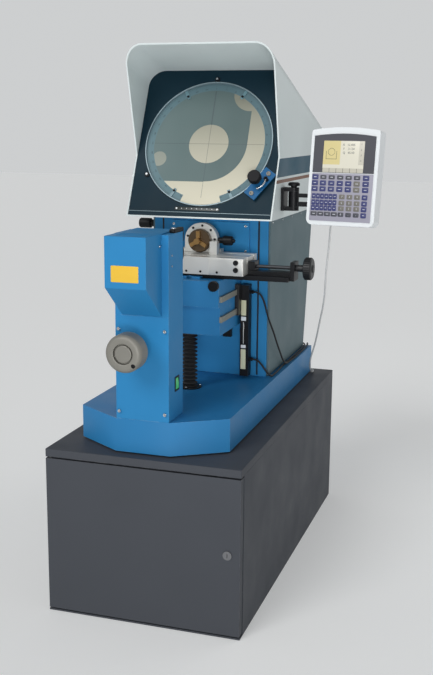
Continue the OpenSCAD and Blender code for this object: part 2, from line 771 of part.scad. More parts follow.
module knee() {
    color([0.2, 0.53, 0.76]) difference() {
        union() {
            translate([-knee_w / 2, knee_f, knee_split])
                cube([knee_w, knee_b - knee_f, knee_z1 - knee_split]);
            translate([-knee_w / 2, knee_f + knee_step, knee_z0])
                cube([knee_w, knee_b - knee_f - knee_step, knee_split - knee_z0 + 1]);
            translate([-knee_tongue_w / 2, knee_f + 30, knee_z1 - 1])
                cube([knee_tongue_w, knee_d - 70, knee_tongue_h + 1]);
        }
        for (s = [-1, 1]) translate([s * rail_x - rail_w / 2 - slide_gap, body_f - rail_d - slide_gap,
            knee_z0 - 1]) cube([rail_w + 2 * slide_gap, rail_d, knee_z1 - knee_z0 + 2]);
        translate([-rail_x + rail_w / 2 + 5, knee_f + 72, knee_z0 + 14])
            cube([2 * rail_x - rail_w - 10, knee_d, knee_z1 - knee_z0 - 28]);
        translate([0, screw_y, knee_z0 - 1])
            cylinder(d = screw_d + 2 * slide_gap, h = knee_z1 - knee_z0 + 10);
        facing(focus_x, knee_f + focus_in + 2, focus_z) cylinder(d = 10 + 2 * run_fit, h = focus_in + 3);
    }
}

module scale_head() {
    x = knee_w / 2;
    far = scale_f - 6;
    color([0.5, 0.52, 0.54]) {
        for (z = [knee_split - head_bar_low, knee_split + head_bar_up]) translate([x, knee_f + head_bar_in, z])
            cube([head_bar_t, far - knee_f - head_bar_in, head_bar_h]);
        translate([x, far - head_block_d, knee_split - head_block_low])
            cube([head_block_w, head_block_d, head_block_h]);
    }
}

module vertical_scale() {
    color([0.08, 0.08, 0.09]) {
        translate([scale_x0, scale_f, scale_z0]) cube([scale_x1 - scale_x0, scale_b - scale_f,
            scale_z1 - scale_z0]);
        for (z = [scale_z0, scale_z1 - 34]) translate([scale_x0 + 4, scale_b - 1, z])
            cube([scale_x1 - scale_x0 - 8, body_f - scale_b + 1, 34]);
        for (p = [upper_gland, lower_gland]) translate(p - [1, 0, 0]) rotate([0, 90, 0])
            cylinder(r = gland_r, h = gland_l + 1);
    }
}

module saddle() {
    color([0.09, 0.09, 0.1]) difference() {
        union() {
            translate([-saddle_l, saddle_y - saddle_w / 2, saddle_z0])
                cube([saddle_l + saddle_r, saddle_w, saddle_z1 - saddle_z0]);
            translate([-saddle_l, saddle_y - tongue_w / 2, saddle_z1 - 1])
                cube([saddle_l + saddle_r, tongue_w, tongue_h + 1]);
            translate([saddle_r - 1, saddle_y - tongue_w / 2 - 4, saddle_z0])
                cube([bracket_t + 1, tongue_w + 8, feed_z + 17 - saddle_z0]);
        }
        translate([-knee_tongue_w / 2 - slide_gap, saddle_y - saddle_w, saddle_z0 - 1])
            cube([knee_tongue_w + 2 * slide_gap, 2 * saddle_w, knee_tongue_h + 1]);
        translate([saddle_r - 2, saddle_y, feed_z]) rotate([0, 90, 0])
            cylinder(d = feed_d + 2 * run_fit, h = bracket_t + 4);
    }
}

module focus_knob() {
    r = focus_d / 2;
    color([0.06, 0.06, 0.07]) facing(focus_x, knee_f, focus_z) rotate_extrude() polygon([
        [0, -focus_in], [5, -focus_in], [5, slide_gap], [8, slide_gap], [8, 6], [r - 1, 6], [r, 7],
        [r, 21], [r - 2, 23], [0, 23]]);
}

module work_table() {
    y0 = saddle_y - table_w / 2;
    color([0.78, 0.79, 0.8]) difference() {
        translate([-table_l / 2, y0, table_z0]) cube([table_l, table_w, table_z1 - table_z0]);
        translate([-table_l, saddle_y - tongue_w / 2 - slide_gap, table_z0 - 1])
            cube([2 * table_l, tongue_w + 2 * slide_gap, tongue_h + 1]);
        translate([-table_l, saddle_y, feed_z]) rotate([0, 90, 0])
            cylinder(d = feed_d + 4, h = 2 * table_l);
        for (y = [-32, 32]) {
            translate([-table_l, saddle_y + y - 5, table_z1 - 10]) cube([2 * table_l, 10, 20]);
            translate([-table_l, saddle_y + y - 8, table_z1 - 16]) cube([2 * table_l, 16, 6.5]);
        }
    }
}

module nut_block() {
    color([0.09, 0.09, 0.1]) difference() {
        translate([table_l / 2, saddle_y - 20, saddle_z1 + tongue_h + slide_gap])
            cube([nut_l, 40, 24]);
        translate([table_l / 2 - 1, saddle_y, feed_z]) rotate([0, 90, 0])
            cylinder(d = feed_d + 2 * run_fit, h = nut_l + 2);
    }
}

module feed_screw() {
    r = feed_wheel_d / 2;
    s = feed_d / 2;
    a = saddle_r + bracket_t + slide_gap;
    color([0.12, 0.12, 0.13]) translate([0, saddle_y, feed_z]) rotate([0, 90, 0]) rotate_extrude()
        polygon([[0, feed_left], [s, feed_left], [s, a], [s + 4, a], [s + 4, a + 22], [r - 2, a + 22],
            [r, a + 24], [r, a + 40], [r - 3, a + 43], [s + 6, a + 43], [s + 4, a + 46], [0, a + 46]]);
}

module fixture_body() {
    color([0.74, 0.75, 0.76]) {
        difference() {
            union() {
                facing(0, fixture_y, axis_z) linear_extrude(fixture_t) intersection() {
                    union() {
                        circle(d = fixture_w);
                        translate([-fixture_w / 2, -fixture_w / 2]) square([fixture_w, fixture_w / 2]);
                    }
                    translate([-fixture_w, table_z1 - axis_z]) square([2 * fixture_w, 2 * fixture_w]);
                }
                translate([-fixture_w / 2 - 9, fixture_y - fixture_t, table_z1])
                    cube([fixture_w + 18, fixture_t + 8, fixture_foot]);
            }
            facing(0, fixture_y + 1, axis_z) cylinder(d = spindle_d + 2 * run_fit, h = fixture_t + 40);
            translate([fixture_w / 2 - 24, fixture_y - fixture_t / 2, axis_z]) rotate([0, 90, 0])
                cylinder(d = 10 + 2 * run_fit, h = 30);
        }
        translate([fixture_w / 2 - 10, fixture_y - fixture_t - 36, table_z1]) cube([20, 20, 34]);
    }
}

module fixture_chuck() {
    r = chuck_d / 2;
    f = fixture_t + slide_gap;
    color([0.72, 0.53, 0.22]) facing(0, fixture_y, axis_z) {
        rotate_extrude() polygon([[0, -3], [spindle_d / 2, -3], [spindle_d / 2, f], [r * 0.8, f],
            [r * 0.8, f + 4], [r, f + 4], [r, f + chuck_t - 2], [r - 2, f + chuck_t], [0, f + chuck_t]]);
        for (a = [90, 210, 330]) rotate([0, 0, a]) translate([8, -5, f + chuck_t - 1])
            cube([r * 0.58, 10, 11]);
        translate([0, 0, f + chuck_t - 1]) cylinder(r = 8, h = 22);
    }
}

module fixture_knob() {
    r = fixture_knob_d / 2;
    x = fixture_w / 2;
    color([0.07, 0.07, 0.08]) translate([0, fixture_y - fixture_t / 2, axis_z]) rotate([0, 90, 0])
        rotate_extrude() polygon([[0, x - 22], [5, x - 22], [5, x + slide_gap], [8, x + slide_gap],
            [8, x + 14], [r - 1, x + 14], [r, x + 16], [r, x + 38], [r - 2, x + 40], [6, x + 40],
            [5, x + 46], [0, x + 46]]);
}

module body_shell() {
    f = body_f + front_t;
    color([0.2, 0.5, 0.72]) difference() {
        side_extrude(body_w) polygon([[f, deck], [body_f + body_d, deck], [head_b, head_low], [f, head_low]]);
        side_extrude(body_w - 2 * body_wall) polygon([[f + body_wall, deck + body_wall],
            [body_f + body_d - body_wall + back_run * body_wall / body_h, deck + body_wall],
            [head_b - body_wall + back_run / body_h, head_low + 1], [f + body_wall, head_low + 1]]);
        facing(0, f + body_wall + 1, axis_z) cylinder(d = lens_d + 6, h = body_wall + 2);
        translate([-body_w / 2 - 1, pinion_y, pinion_z]) rotate([0, 90, 0])
            cylinder(d = 10 + 2 * run_fit, h = body_wall + 2);
    }
}

module body_panel() {
    color([0.24, 0.58, 0.82]) difference() {
        union() {
            translate([-front_w / 2, body_f, deck + 2]) cube([front_w, front_t, body_h - 4]);
            translate([-front_w / 2 + 22, body_f - pad_d, axis_z - 44])
                cube([front_w - 44, pad_d + 1, 88]);
        }
        facing(0, body_f + front_t + 1, axis_z)
            cylinder(d = lens_d + 2 * run_fit, h = pad_d + front_t + 2);
    }
}

module body_sides() {
    f = body_f + front_t + 4;
    color([0.43, 0.48, 0.5]) difference() {
        for (s = [-1, 1]) translate([s * (body_w + side_t) / 2, 0, 0]) side_extrude(side_t)
            polygon([[f, deck + 3], [body_f + body_d - 6, deck + 3], [head_b - 7, head_low - 2],
                [f, head_low - 2]]);
        translate([-body_w / 2 - side_t - 1, pinion_y, pinion_z]) rotate([0, 90, 0])
            cylinder(d = 12, h = side_t + 2);
    }
}

module lens_barrel() {
    r = lens_d / 2;
    b = bell_d / 2;
    color([0.1, 0.1, 0.11]) facing(0, lens_end, axis_z) rotate_extrude() polygon([[r - 4, 0], [r, 0],
        [r, lens_end - lens_tip - bell_l], [b, lens_end - lens_tip - bell_l + 3], [b, lens_end - lens_tip],
        [b - 3, lens_end - lens_tip], [b - 3, lens_end - lens_tip - 8], [r - 4, lens_end - lens_tip - 8]]);
}

module lens_glass() {
    r = bell_d / 2 - 3 - seat_fit;
    color([0.8, 0.88, 0.95]) facing(0, lens_tip + 8, axis_z) {
        cylinder(r = r, h = 3);
        translate([0, 0, 3]) cylinder(r1 = r, r2 = r * 0.5, h = 3);
    }
}

module lens_knob() {
    r = lens_knob_d / 2;
    a = body_w / 2 + side_t + 1;
    color([0.05, 0.05, 0.06]) translate([0, pinion_y, pinion_z]) rotate([0, -90, 0]) rotate_extrude()
        polygon([[0, -10], [pinion_r, -10], [pinion_r, 10], [5, 10], [5, a], [r - 4, a], [r - 4, a + 10],
            [r, a + 12], [r, a + 42], [r - 2, a + 45], [0, a + 45]]);
}

module at_back_wall() {
    translate([0, body_f + body_d + back_run * axis_h / body_h - body_wall - 0.1, axis_z])
        rotate([-back_slope, 0, 0]) children();
}

module main_mirror() {
    color([0.85, 0.88, 0.9]) at_back_wall() translate([-mirror_w / 2, -18, -mirror_w / 2 - 80])
        cube([mirror_w, 6, mirror_w]);
}

module mirror_frame() {
    m = mirror_w + 24;
    color([0.2, 0.2, 0.21]) at_back_wall() difference() {
        translate([-m / 2, -20, -m / 2 - 80]) cube([m, 20, m]);
        translate([-mirror_w / 2, -30, -mirror_w / 2 - 80]) cube([mirror_w, 18, mirror_w]);
        translate([-mirror_w / 2 + 40, -30, -mirror_w / 2 - 40]) cube([mirror_w - 80, 60, mirror_w - 80]);
    }
}

module head_shell() {
    color([0.8, 0.82, 0.81]) difference() {
        intersection() {
            side_extrude(head_w) polygon([lip, foot, kink, crest, roof_back, [head_b, head_low]]);
            translate([0, crest[0], crest[1]]) rotate([-roof_fall, 0, 0]) translate([0, 900, 0])
                rotate([90, 0, 0]) linear_extrude(1200) arch_2d(head_w, 900, head_r);
        }
        head_inside(0);
        translate([-body_w / 2 + 20, body_f + 40, head_low - 1])
            cube([body_w - 40, body_top_d - 90, head_t + 2]);
    }
}

module screen_panel() {
    z = head_low + head_t + seat_fit;
    color([0.09, 0.14, 0.17]) {
        difference() {
            intersection() {
                union() {
                    at_panel() translate([-head_w / 2, 1, -panel_set - panel_t])
                        cube([head_w, 700, panel_t]);
                    side_extrude(head_w) polygon([[lip[0] + panel_set, z], [lip[0] + panel_set + panel_t, z],
                        [foot[0] + panel_set + panel_t, foot[1] + 3], [foot[0] + panel_set, foot[1] + 3]]);
                }
                head_inside(seat_fit);
            }
            at_screen() translate([0, 0, -20]) cylinder(d = ring_d + 2.4, h = 40);
        }
        at_screen() for (a = [90, 210]) rotate([0, 0, a]) translate([roller_at, 0, -panel_t + 1])
            cylinder(r = 3, h = panel_t + ring_front + 1);
    }
}

module screen_ring() {
    r = ring_d / 2;
    z = ring_front - ring_depth;
    color([0.72, 0.73, 0.75]) at_screen() rotate_extrude() polygon([[glass_r - 5, z], [r, z],
        [r, ring_front], [glass_r + seat_fit, ring_front], [glass_r + seat_fit, z + 4],
        [glass_r - 5, z + 4]]);
}

module ground_glass() {
    color([0.72, 0.78, 0.74]) at_screen() translate([0, 0, ring_front - ring_depth + 4])
        cylinder(r = glass_r, h = glass_t);
}

module chart_clips() {
    z = ring_front - ring_depth + 4 + glass_t;
    color([0.06, 0.06, 0.06]) at_screen() for (a = [60.5, 119.5, 240.5, 299.5]) rotate([0, 0, a])
        translate([glass_r - 26, -4, z]) cube([26, 8, 2.5]);
}

module roller(a) {
    at_screen() rotate([0, 0, a]) translate([roller_at, 0, slide_gap]) difference() {
        cylinder(r = roller_r, h = ring_front - slide_gap);
        translate([0, 0, -1]) cylinder(r = 3 + run_fit, h = 20);
    }
}

module guide_roller_top() {
    color([0.82, 0.82, 0.84]) roller(90);
}

module guide_roller_left() {
    color([0.82, 0.82, 0.84]) roller(210);
}

module drive_bracket() {
    color([0.22, 0.56, 0.8]) at_screen() rotate([0, 0, drive_angle]) translate([drive_at, 0, 0])
        difference() {
            union() {
                translate([-8, -44, bracket_z]) cube([36, 88, bracket_plate]);
                for (y = [-34, 34]) translate([11, y, 0]) cylinder(r = 7, h = bracket_z + 1);
            }
            translate([0, 0, bracket_z - 1]) cylinder(r = 4 + run_fit, h = 10);
        }
}

module drive_knob() {
    r = drive_d / 2;
    t = bracket_z + bracket_plate + slide_gap;
    color([0.05, 0.05, 0.06]) at_screen() rotate([0, 0, drive_angle]) translate([drive_at, 0, 0])
        rotate_extrude() polygon([[0, slide_gap], [drive_roller_r, slide_gap],
            [drive_roller_r, ring_front], [4, ring_front], [4, t], [7, t], [7, knob_z0], [r - 1, knob_z0],
            [r, knob_z0 + 2], [r, knob_z1 - 2], [r - 2, knob_z1], [0, knob_z1]]);
}

module clamp_lever() {
    z = bracket_z + bracket_plate + slide_gap;
    color([0.85, 0.86, 0.88]) at_screen() rotate([0, 0, drive_angle]) translate([drive_at + 18, 18, z]) {
        cylinder(r = 6, h = 12);
        translate([-3, -34, 6]) cube([6, 34, 5]);
        translate([0, -34, 6]) cylinder(r = 5, h = 6);
    }
}

module arm_bracket() {
    x = head_w / 2;
    half = arm_gap / 2;
    color([0.06, 0.06, 0.07]) {
        translate([x, arm_y - 23, arm_z - half - ear_t]) cube([8, 46, arm_gap + 2 * ear_t]);
        for (z = [arm_z - half - ear_t, arm_z + half]) {
            translate([x + 7, arm_y - hub_r, z]) cube([arm_x - x - 7, 2 * hub_r, ear_t]);
            translate([arm_x, arm_y, z]) cylinder(r = hub_r, h = ear_t);
        }
        translate([arm_x, arm_y, arm_z - half - ear_t]) cylinder(r = arm_pin_r, h = arm_gap + 2 * ear_t);
    }
}

module arm_knob() {
    z = arm_z + arm_gap / 2 + ear_t + slide_gap;
    color([0.05, 0.05, 0.06]) translate([arm_x, arm_y, z]) rotate_extrude()
        polygon([[0, 0], [8, 0], [8, 3], [15, 4.5], [15, 11], [12, 13.5], [0, 13.5]]);
}

module display_arm() {
    h = arm_gap - 2 * slide_gap;
    color([0.07, 0.07, 0.08]) {
        difference() {
            union() {
                translate([arm_x, arm_y, arm_z - h / 2]) cylinder(r = hub_r, h = h);
                for (bar = [arm_bar_low, arm_bar_up])
                    translate([arm_x, arm_y - arm_bar_w / 2, arm_z + bar[0]])
                    cube([arm_end - arm_x, arm_bar_w, bar[1]]);
                translate([arm_end - 14, arm_y - 9, arm_z + arm_bar_low[0]]) cube([28, 18, 36]);
                translate([arm_end - 10, tilt_at[1], tilt_at[2] - 9]) cube([20, arm_y - tilt_at[1], 18]);
                translate([cable_x, arm_y, arm_z - 20]) cylinder(r = gland_r, h = 10);
            }
            translate([arm_x, arm_y, arm_z - h]) cylinder(r = arm_pin_r + run_fit, h = 2 * h);
        }
        translate(tilt_at) rotate([0, 0, display_turn]) rotate([0, 90, 0]) {
            translate([0, 0, -hub_w / 2]) cylinder(r = tilt_r, h = hub_w);
            translate([0, 0, -hub_w / 2 - ear_w - 1]) cylinder(r = tilt_pin_r, h = hub_w + 2 * ear_w + 2);
        }
    }
}

module display_outline(w, h, r) {
    rise = 8;
    big = (w * w / 4 + rise * rise) / (2 * rise);
    intersection() {
        round_rect(w, h, r);
        translate([0, h / 2 - big]) circle(big, $fn = 360);
    }
}

module display_housing() {
    color([0.9, 0.91, 0.91]) at_display() {
        translate([0, display_d, 0]) rotate([90, 0, 0]) linear_extrude(display_d - 2)
            display_outline(display_w, display_h, 16);
        for (s = [-1, 1]) difference() {
            translate([s * (hub_w / 2 + slide_gap + ear_w / 2) - ear_w / 2, display_d - 1, tilt_low - tilt_r])
                cube([ear_w, tilt_back + tilt_r + 1, 2 * tilt_r]);
            translate([s * (hub_w / 2 + ear_w / 2) - ear_w, display_d + tilt_back, tilt_low])
                rotate([0, 90, 0]) cylinder(r = tilt_pin_r + run_fit, h = 2 * ear_w);
        }
    }
}

module display_front() {
    color([0.6, 0.62, 0.68]) at_display() translate([0, 2, -film_low]) rotate([90, 0, 0]) linear_extrude(2)
        display_outline(display_w - 14, display_h - 26, 12);
}

module scale_cable_a() {
    color([0.06, 0.06, 0.06]) tube(curve(scale_path_a, 2), cord_r, 8, [0, 0, 1]);
}

module scale_cable_b() {
    color([0.06, 0.06, 0.06]) tube(curve(scale_path_b, 2), cord_r, 8, [0, 0, 1]);
}

module display_cable() {
    color([0.75, 0.76, 0.76]) tube(curve(display_path, 2), cord_r, 8, [1, 0, 0]);
}

cabinet_sides();
door_jambs();
cabinet_back();
cabinet_floor();
cabinet_top();
cabinet_door();
door_pins();
door_lock();
base_casting();
base_feet();
lamp_column();
column_cover();
lamp_house();
lamp_socket();
lamp_bulb();
condenser_barrel();
condenser_lens();
power_switch();
elevation_handwheel();
handwheel_bush();
elevation_screw();
bellows();
guide_rails();
knee();
scale_head();
vertical_scale();
saddle();
focus_knob();
work_table();
nut_block();
feed_screw();
fixture_body();
fixture_chuck();
fixture_knob();
body_shell();
body_panel();
body_sides();
lens_barrel();
lens_glass();
lens_knob();
main_mirror();
mirror_frame();
head_shell();
screen_panel();
screen_ring();
ground_glass();
chart_clips();
guide_roller_top();
guide_roller_left();
drive_bracket();
drive_knob();
clamp_lever();
arm_bracket();
arm_knob();
display_arm();
display_housing();
display_front();
scale_cable_a();
scale_cable_b();
display_cable();
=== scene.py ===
# %% [markdown]
# An optical comparator throws the shadow of a small part on to a round ground-glass screen.
# The machine is already built as a imported CAD model, and this lesson gives it its looks.
# The load call brings every CAD node in at its real place, in metres, with x to the right,
# y to the back and z up.

# %% Load the frame
import math

import bpy
from mathutils import Matrix, Vector
from mathutils.geometry import interpolate_bezier


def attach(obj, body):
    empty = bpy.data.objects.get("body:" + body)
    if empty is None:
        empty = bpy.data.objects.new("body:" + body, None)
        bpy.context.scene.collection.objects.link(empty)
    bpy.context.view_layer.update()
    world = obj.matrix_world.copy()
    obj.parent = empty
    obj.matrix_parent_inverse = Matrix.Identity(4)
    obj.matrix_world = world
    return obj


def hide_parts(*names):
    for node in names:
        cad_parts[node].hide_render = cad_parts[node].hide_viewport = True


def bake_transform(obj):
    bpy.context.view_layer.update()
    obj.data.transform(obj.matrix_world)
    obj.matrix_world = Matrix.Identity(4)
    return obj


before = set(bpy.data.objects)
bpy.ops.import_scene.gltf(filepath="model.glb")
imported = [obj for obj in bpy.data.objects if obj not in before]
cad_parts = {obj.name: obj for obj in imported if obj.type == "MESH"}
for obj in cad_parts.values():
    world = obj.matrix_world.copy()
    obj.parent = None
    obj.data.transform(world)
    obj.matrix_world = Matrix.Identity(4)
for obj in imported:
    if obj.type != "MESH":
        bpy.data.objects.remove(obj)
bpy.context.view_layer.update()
scene = bpy.context.scene
print("CAD nodes:", len(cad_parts))

# %% [markdown]
# The camera stands to the right of the machine and looks slightly down on it.
# Its place and its three angles were solved from straight edges of known length, so it is
# built from a forward, a right and an up direction rather than aimed by eye.

# %% Camera
yaw, pitch, roll = 0.3104, 0.2069, 0.008
forward = Vector((-math.sin(yaw) * math.cos(pitch), math.cos(yaw) * math.cos(pitch), -math.sin(pitch)))
level = Vector((math.cos(yaw), math.sin(yaw), 0))
upright = level.cross(forward)
side = level * math.cos(roll) + upright * math.sin(roll)
above = upright * math.cos(roll) - level * math.sin(roll)
bpy.ops.object.select_all(action="DESELECT")
bpy.ops.object.camera_add()
camera = bpy.context.object
turn = Matrix((side, above, -forward)).transposed().to_4x4()
camera.matrix_world = Matrix.Translation((0.8765, -2.6518, 1.2027)) @ turn
camera.data.sensor_width = 36
camera.data.lens = 54.22
scene.camera = camera
print("camera looks along", [round(v, 3) for v in forward])

# %% [markdown]
# Three cables leave the machine: two black ones from the vertical scale, and a pale one that
# hangs from the display's arm. Each is a limp 5 mm jacket, so it follows one smooth curve with
# automatic handles through the points of its route, first straight out of its gland.

# %% Cables
ROUTES = {
    "scale_cable_a": [
        (132, -2, 753.5), (141, -2, 753), (150, -1, 748), (157, 1, 737.5), (163, 3.5, 720.5),
        (171, 8, 687.5), (182, 28, 641.5), (184, 62, 603.5), (184, 102, 567.5), (183.5, 146, 532.6),
        (184, 174, 518.6), (184.5, 214, 515.1), (186.5, 268, 514.6), (186.5, 338, 514.6),
        (186, 398, 514.6), (184.5, 444.5, 514.9), (181.5, 468.5, 514.9), (177.5, 486.5, 514.6),
        (174.5, 496.5, 510.5), (173.5, 501.5, 500.6), (173.5, 501.5, 489.5), (173.5, 498, 481),
        (173.5, 489.5, 477.5), (173.5, 482.5, 477.5)],
    "scale_cable_b": [
        (132, -2, 564.5), (141, -2, 564), (150, -1.5, 559), (158, 0, 549.5), (167, 3, 536.5),
        (175, 8, 524.5), (180, 18, 517), (182.5, 48, 515.4), (181.5, 88, 514.6), (178.5, 148, 514.6),
        (177.5, 218, 514.6), (178.5, 288, 514.6), (177.5, 368, 514.6), (175.5, 444, 514.9),
        (173.7, 462, 514.9), (167, 480, 514.6), (159.5, 493, 511.6), (155.5, 501.5, 500.6),
        (155.5, 501.5, 489.5), (155.5, 498, 481), (155.5, 489.5, 477.5), (155.5, 482.5, 477.5)],
    "display_cable": [
        (336.6, 20, 988), (336.6, 20, 972), (336.6, 20, 954), (334.6, 22, 917), (330.6, 28, 873),
        (324.6, 38, 827), (312.6, 76, 731), (290.6, 132, 657), (260.6, 220, 577), (224.6, 320, 495),
        (208.5, 404.5, 447), (204.5, 448.5, 431.3), (197.5, 484.5, 428.5), (181.5, 505.5, 428.1),
        (157.5, 512.5, 429.7), (137.5, 510.5, 440.1), (126, 501.5, 457), (123.5, 491.5, 461.5),
        (123.5, 482.5, 461.5)],
}
CABLE_RADIUS = 0.0025


def bent_rod(name, points, radius, steps):
    bpy.ops.object.select_all(action="DESELECT")
    bpy.ops.curve.primitive_bezier_curve_add(location=(0, 0, 0))
    rod = bpy.context.object
    rod.name = name
    knots = rod.data.splines[0].bezier_points
    knots.add(len(points) - 2)
    for knot, point in zip(knots, points):
        knot.co = Vector(point) / 1000
        knot.handle_left_type = "AUTO"
        knot.handle_right_type = "AUTO"
    rod.data.resolution_u = steps
    rod.data.bevel_depth = radius
    rod.data.bevel_resolution = 4
    rod.data.use_fill_caps = True
    bpy.context.view_layer.update()
    line = []
    for a, b in zip(knots[:-1], knots[1:]):
        line += interpolate_bezier(a.co, a.handle_right, b.handle_left, b.co, steps + 1)[:-1]
    line.append(knots[-1].co.copy())
    bpy.ops.object.convert(target="MESH")
    return bpy.context.object, line


cables = {}
for node_name, points in ROUTES.items():
    cable, line = bent_rod(node_name + "_jacket", points, CABLE_RADIUS, 10)
    hangs = node_name == "display_cable"
    if hangs:
        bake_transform(cable)
    else:
        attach(cable, "frame")
    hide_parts(node_name)
    cables[node_name] = cable

# %% [markdown]
# Colours are written as the hex codes a painter would read from a chart. Blender mixes light in
# linear values, so one function turns a code into those. A second small function adds a node,
# sets its options and fills its inputs, either with a plain value or with a link. An input has a
# name, or a number where several share one name: a colour mix takes its factor at 0 and its colours
# at 6 and 7, and gives its result at output 2.

# %% Colour and node helpers
def linear(code):
    parts = [int(code[i:i + 2], 16) / 255 for i in (0, 2, 4)]
    return [p / 12.92 if p <= 0.04045 else ((p + 0.055) / 1.055) ** 2.4 for p in parts] + [1.0]


def add_node(tree, kind, inputs=None, **settings):
    node = tree.nodes.new("ShaderNode" + kind)
    for key, value in settings.items():
        setattr(node, key, value)
    for key, value in (inputs or {}).items():
        if isinstance(value, bpy.types.NodeSocket):
            tree.links.new(value, node.inputs[key])
        else:
            node.inputs[key].default_value = value
    return node


# %% [markdown]
# Most surfaces here are paint, metal or moulded plastic, and all of them need the same four
# things: a slow change of shade over a hand's width, a fine grain that bends the light, a change
# in gloss, and edges that hands and tools have rubbed. The grain's size is given in millimetres,
# so it stays right on a small knob and on the large cabinet. The rubbed edge comes from comparing
# the true normal with one rounded over a radius: they differ only near an edge.

# %% Surface recipe
HAND_SCALE = 9.0     # a change of shade about 110 mm wide
CHIP_SCALE = 60.0    # rubbed patches about 17 mm long


def surface(name, code, rough, metal=0.0, grain=1.5, bump=0.1, shade=0.08, wear=None, edge=1.2,
            stretch=(1, 1, 1), shine=0.5):
    material = bpy.data.materials.new(name)
    material.use_nodes = True
    tree = material.node_tree
    tree.nodes.clear()
    place = add_node(tree, "TexCoord").outputs["Object"]
    drawn = add_node(tree, "Mapping", {"Vector": place, "Scale": stretch}).outputs["Vector"]
    slow = add_node(tree, "TexNoise", {"Vector": place, "Scale": HAND_SCALE, "Detail": 4.0})
    fine = add_node(tree, "TexNoise", {"Vector": drawn, "Scale": 1000.0 / grain, "Detail": 3.0})
    base = linear(code)
    dark = [c * (1 - shade) for c in base[:3]] + [1.0]
    light = [min(1.0, c * (1 + shade)) for c in base[:3]] + [1.0]
    colour = add_node(tree, "Mix", {0: slow.outputs["Fac"], 6: dark, 7: light},
                      data_type="RGBA").outputs[2]
    gloss = add_node(tree, "MapRange", {
        "Value": slow.outputs["Fac"], "From Min": 0.3, "From Max": 0.7,
        "To Min": rough * 0.85, "To Max": min(1.0, rough * 1.15)}).outputs["Result"]
    if wear:
        soft = add_node(tree, "Bevel", {"Radius": edge / 1000}, samples=4)
        true = add_node(tree, "NewGeometry").outputs["Normal"]
        match = add_node(tree, "VectorMath", {0: soft.outputs["Normal"], 1: true},
                         operation="DOT_PRODUCT").outputs["Value"]
        rim = add_node(tree, "MapRange", {
            "Value": match, "From Min": 0.97, "From Max": 0.80}).outputs["Result"]
        patch = add_node(tree, "TexNoise", {"Vector": place, "Scale": CHIP_SCALE, "Detail": 5.0})
        chip = add_node(tree, "MapRange", {
            "Value": patch.outputs["Fac"], "From Min": 0.45, "From Max": 0.62,
            "To Max": 0.7}).outputs["Result"]
        worn = add_node(tree, "Math", {0: rim, 1: chip}, operation="MULTIPLY").outputs["Value"]
        colour = add_node(tree, "Mix", {0: worn, 6: colour, 7: linear(wear)},
                          data_type="RGBA").outputs[2]
    height = add_node(tree, "Bump", {
        "Height": fine.outputs["Fac"], "Strength": bump, "Distance": grain / 4000}).outputs["Normal"]
    shader = add_node(tree, "BsdfPrincipled", {
        "Base Color": colour, "Roughness": gloss, "Metallic": metal, "Normal": height,
        "Specular IOR Level": shine})
    add_node(tree, "OutputMaterial", {"Surface": shader.outputs["BSDF"]})
    return material


# Stoved blue enamel: a soft gloss, a faint orange peel, paler where edges are rubbed.
blue_paint = surface("blue_enamel", "2C81B8", 0.48, grain=2.2, bump=0.14, wear="8FB4CC", edge=1.8,
                     shine=0.2)
# The bracket by the screen: the same blue enamel, darkened to paint the shade it sits in under the hood.
shaded_blue_paint = surface("painted_shade_blue_enamel", "1C6092", 0.48, grain=2.2, bump=0.14, wear="8FB4CC", shine=0.2)
# The same blue on sand-cast iron: a coarser skin shows through the paint.
blue_cast = surface("blue_enamel_on_casting", "297BB2", 0.46, grain=3.5, bump=0.35, wear="8FB4CC",
                    edge=2.0, shine=0.3)
# Pale hood enamel: a fine matt texture that hides finger marks.
white_paint = surface("pale_grey_enamel", "DDE6E6", 0.5, grain=1.2, bump=0.16, shade=0.04, wear="EEF1EE",
                      shine=0.35)
# Dark screen panel: teal so deep that the ring reads against it.
dark_paint = surface("dark_teal_enamel", "0C2834", 0.5, grain=1.8, bump=0.1, wear="51656C", shine=0.15)
# Cabinet steel with a baked hammer-fine texture.
grey_paint = surface("grey_stoved_steel", "4A4D53", 0.55, grain=1.6, bump=0.22, shade=0.05, wear="83858A",
                     shine=0.12)
# Side sheets of the body: a cooler grey-green.
panel_grey = surface("grey_green_enamel", "5D7177", 0.5, grain=1.6, bump=0.14, shade=0.05, wear="98A3A4",
                     shine=0.15)
# Table and fixture: surface-ground steel, the grinding lines run along x.
ground_steel = surface("ground_steel", "CECECA", 0.34, metal=0.45, grain=0.8, bump=0.12,
                       stretch=(0.06, 1, 1))
# Plated levers and caps.
chrome = surface("chrome_plate", "B4B7BA", 0.24, metal=0.9, grain=4.0, bump=0.02, shade=0.03)
# Lock barrel: nickel gone dull and grey.
dull_nickel = surface("dull_nickel", "7C7D80", 0.42, metal=0.7, grain=1.0, bump=0.1)
# Turned aluminium of the handwheel and ring, beige from handling.
aluminium = surface("turned_aluminium", "83817A", 0.5, metal=0.3, grain=1.0, bump=0.2, wear="D6D4CC")
# Ring of the screen: blue-grey anodising.
ring_metal = surface("anodised_ring", "84969D", 0.4, metal=0.4, grain=1.0, bump=0.1)
# Chart clips: clear plastic that takes the colour of the frosted scale behind it.
clip_plastic = surface("clear_clip_plastic", "60838D", 0.3, grain=1.0, bump=0.04)
# Black oxide and anodised parts of the stage, lens and arm.
black_metal = surface("black_oxide_steel", "131417", 0.42, metal=0.15, grain=1.0, bump=0.1, wear="5C5E62",
                      shine=0.22)
# Moulded black grips.
black_plastic = surface("black_phenolic", "0E0F12", 0.45, grain=1.4, bump=0.14, wear="2E3034", shine=0.2)
# Soft black rubber: bellows, feet and cable jackets.
rubber = surface("black_rubber", "121315", 0.68, grain=0.9, bump=0.2, shade=0.12)
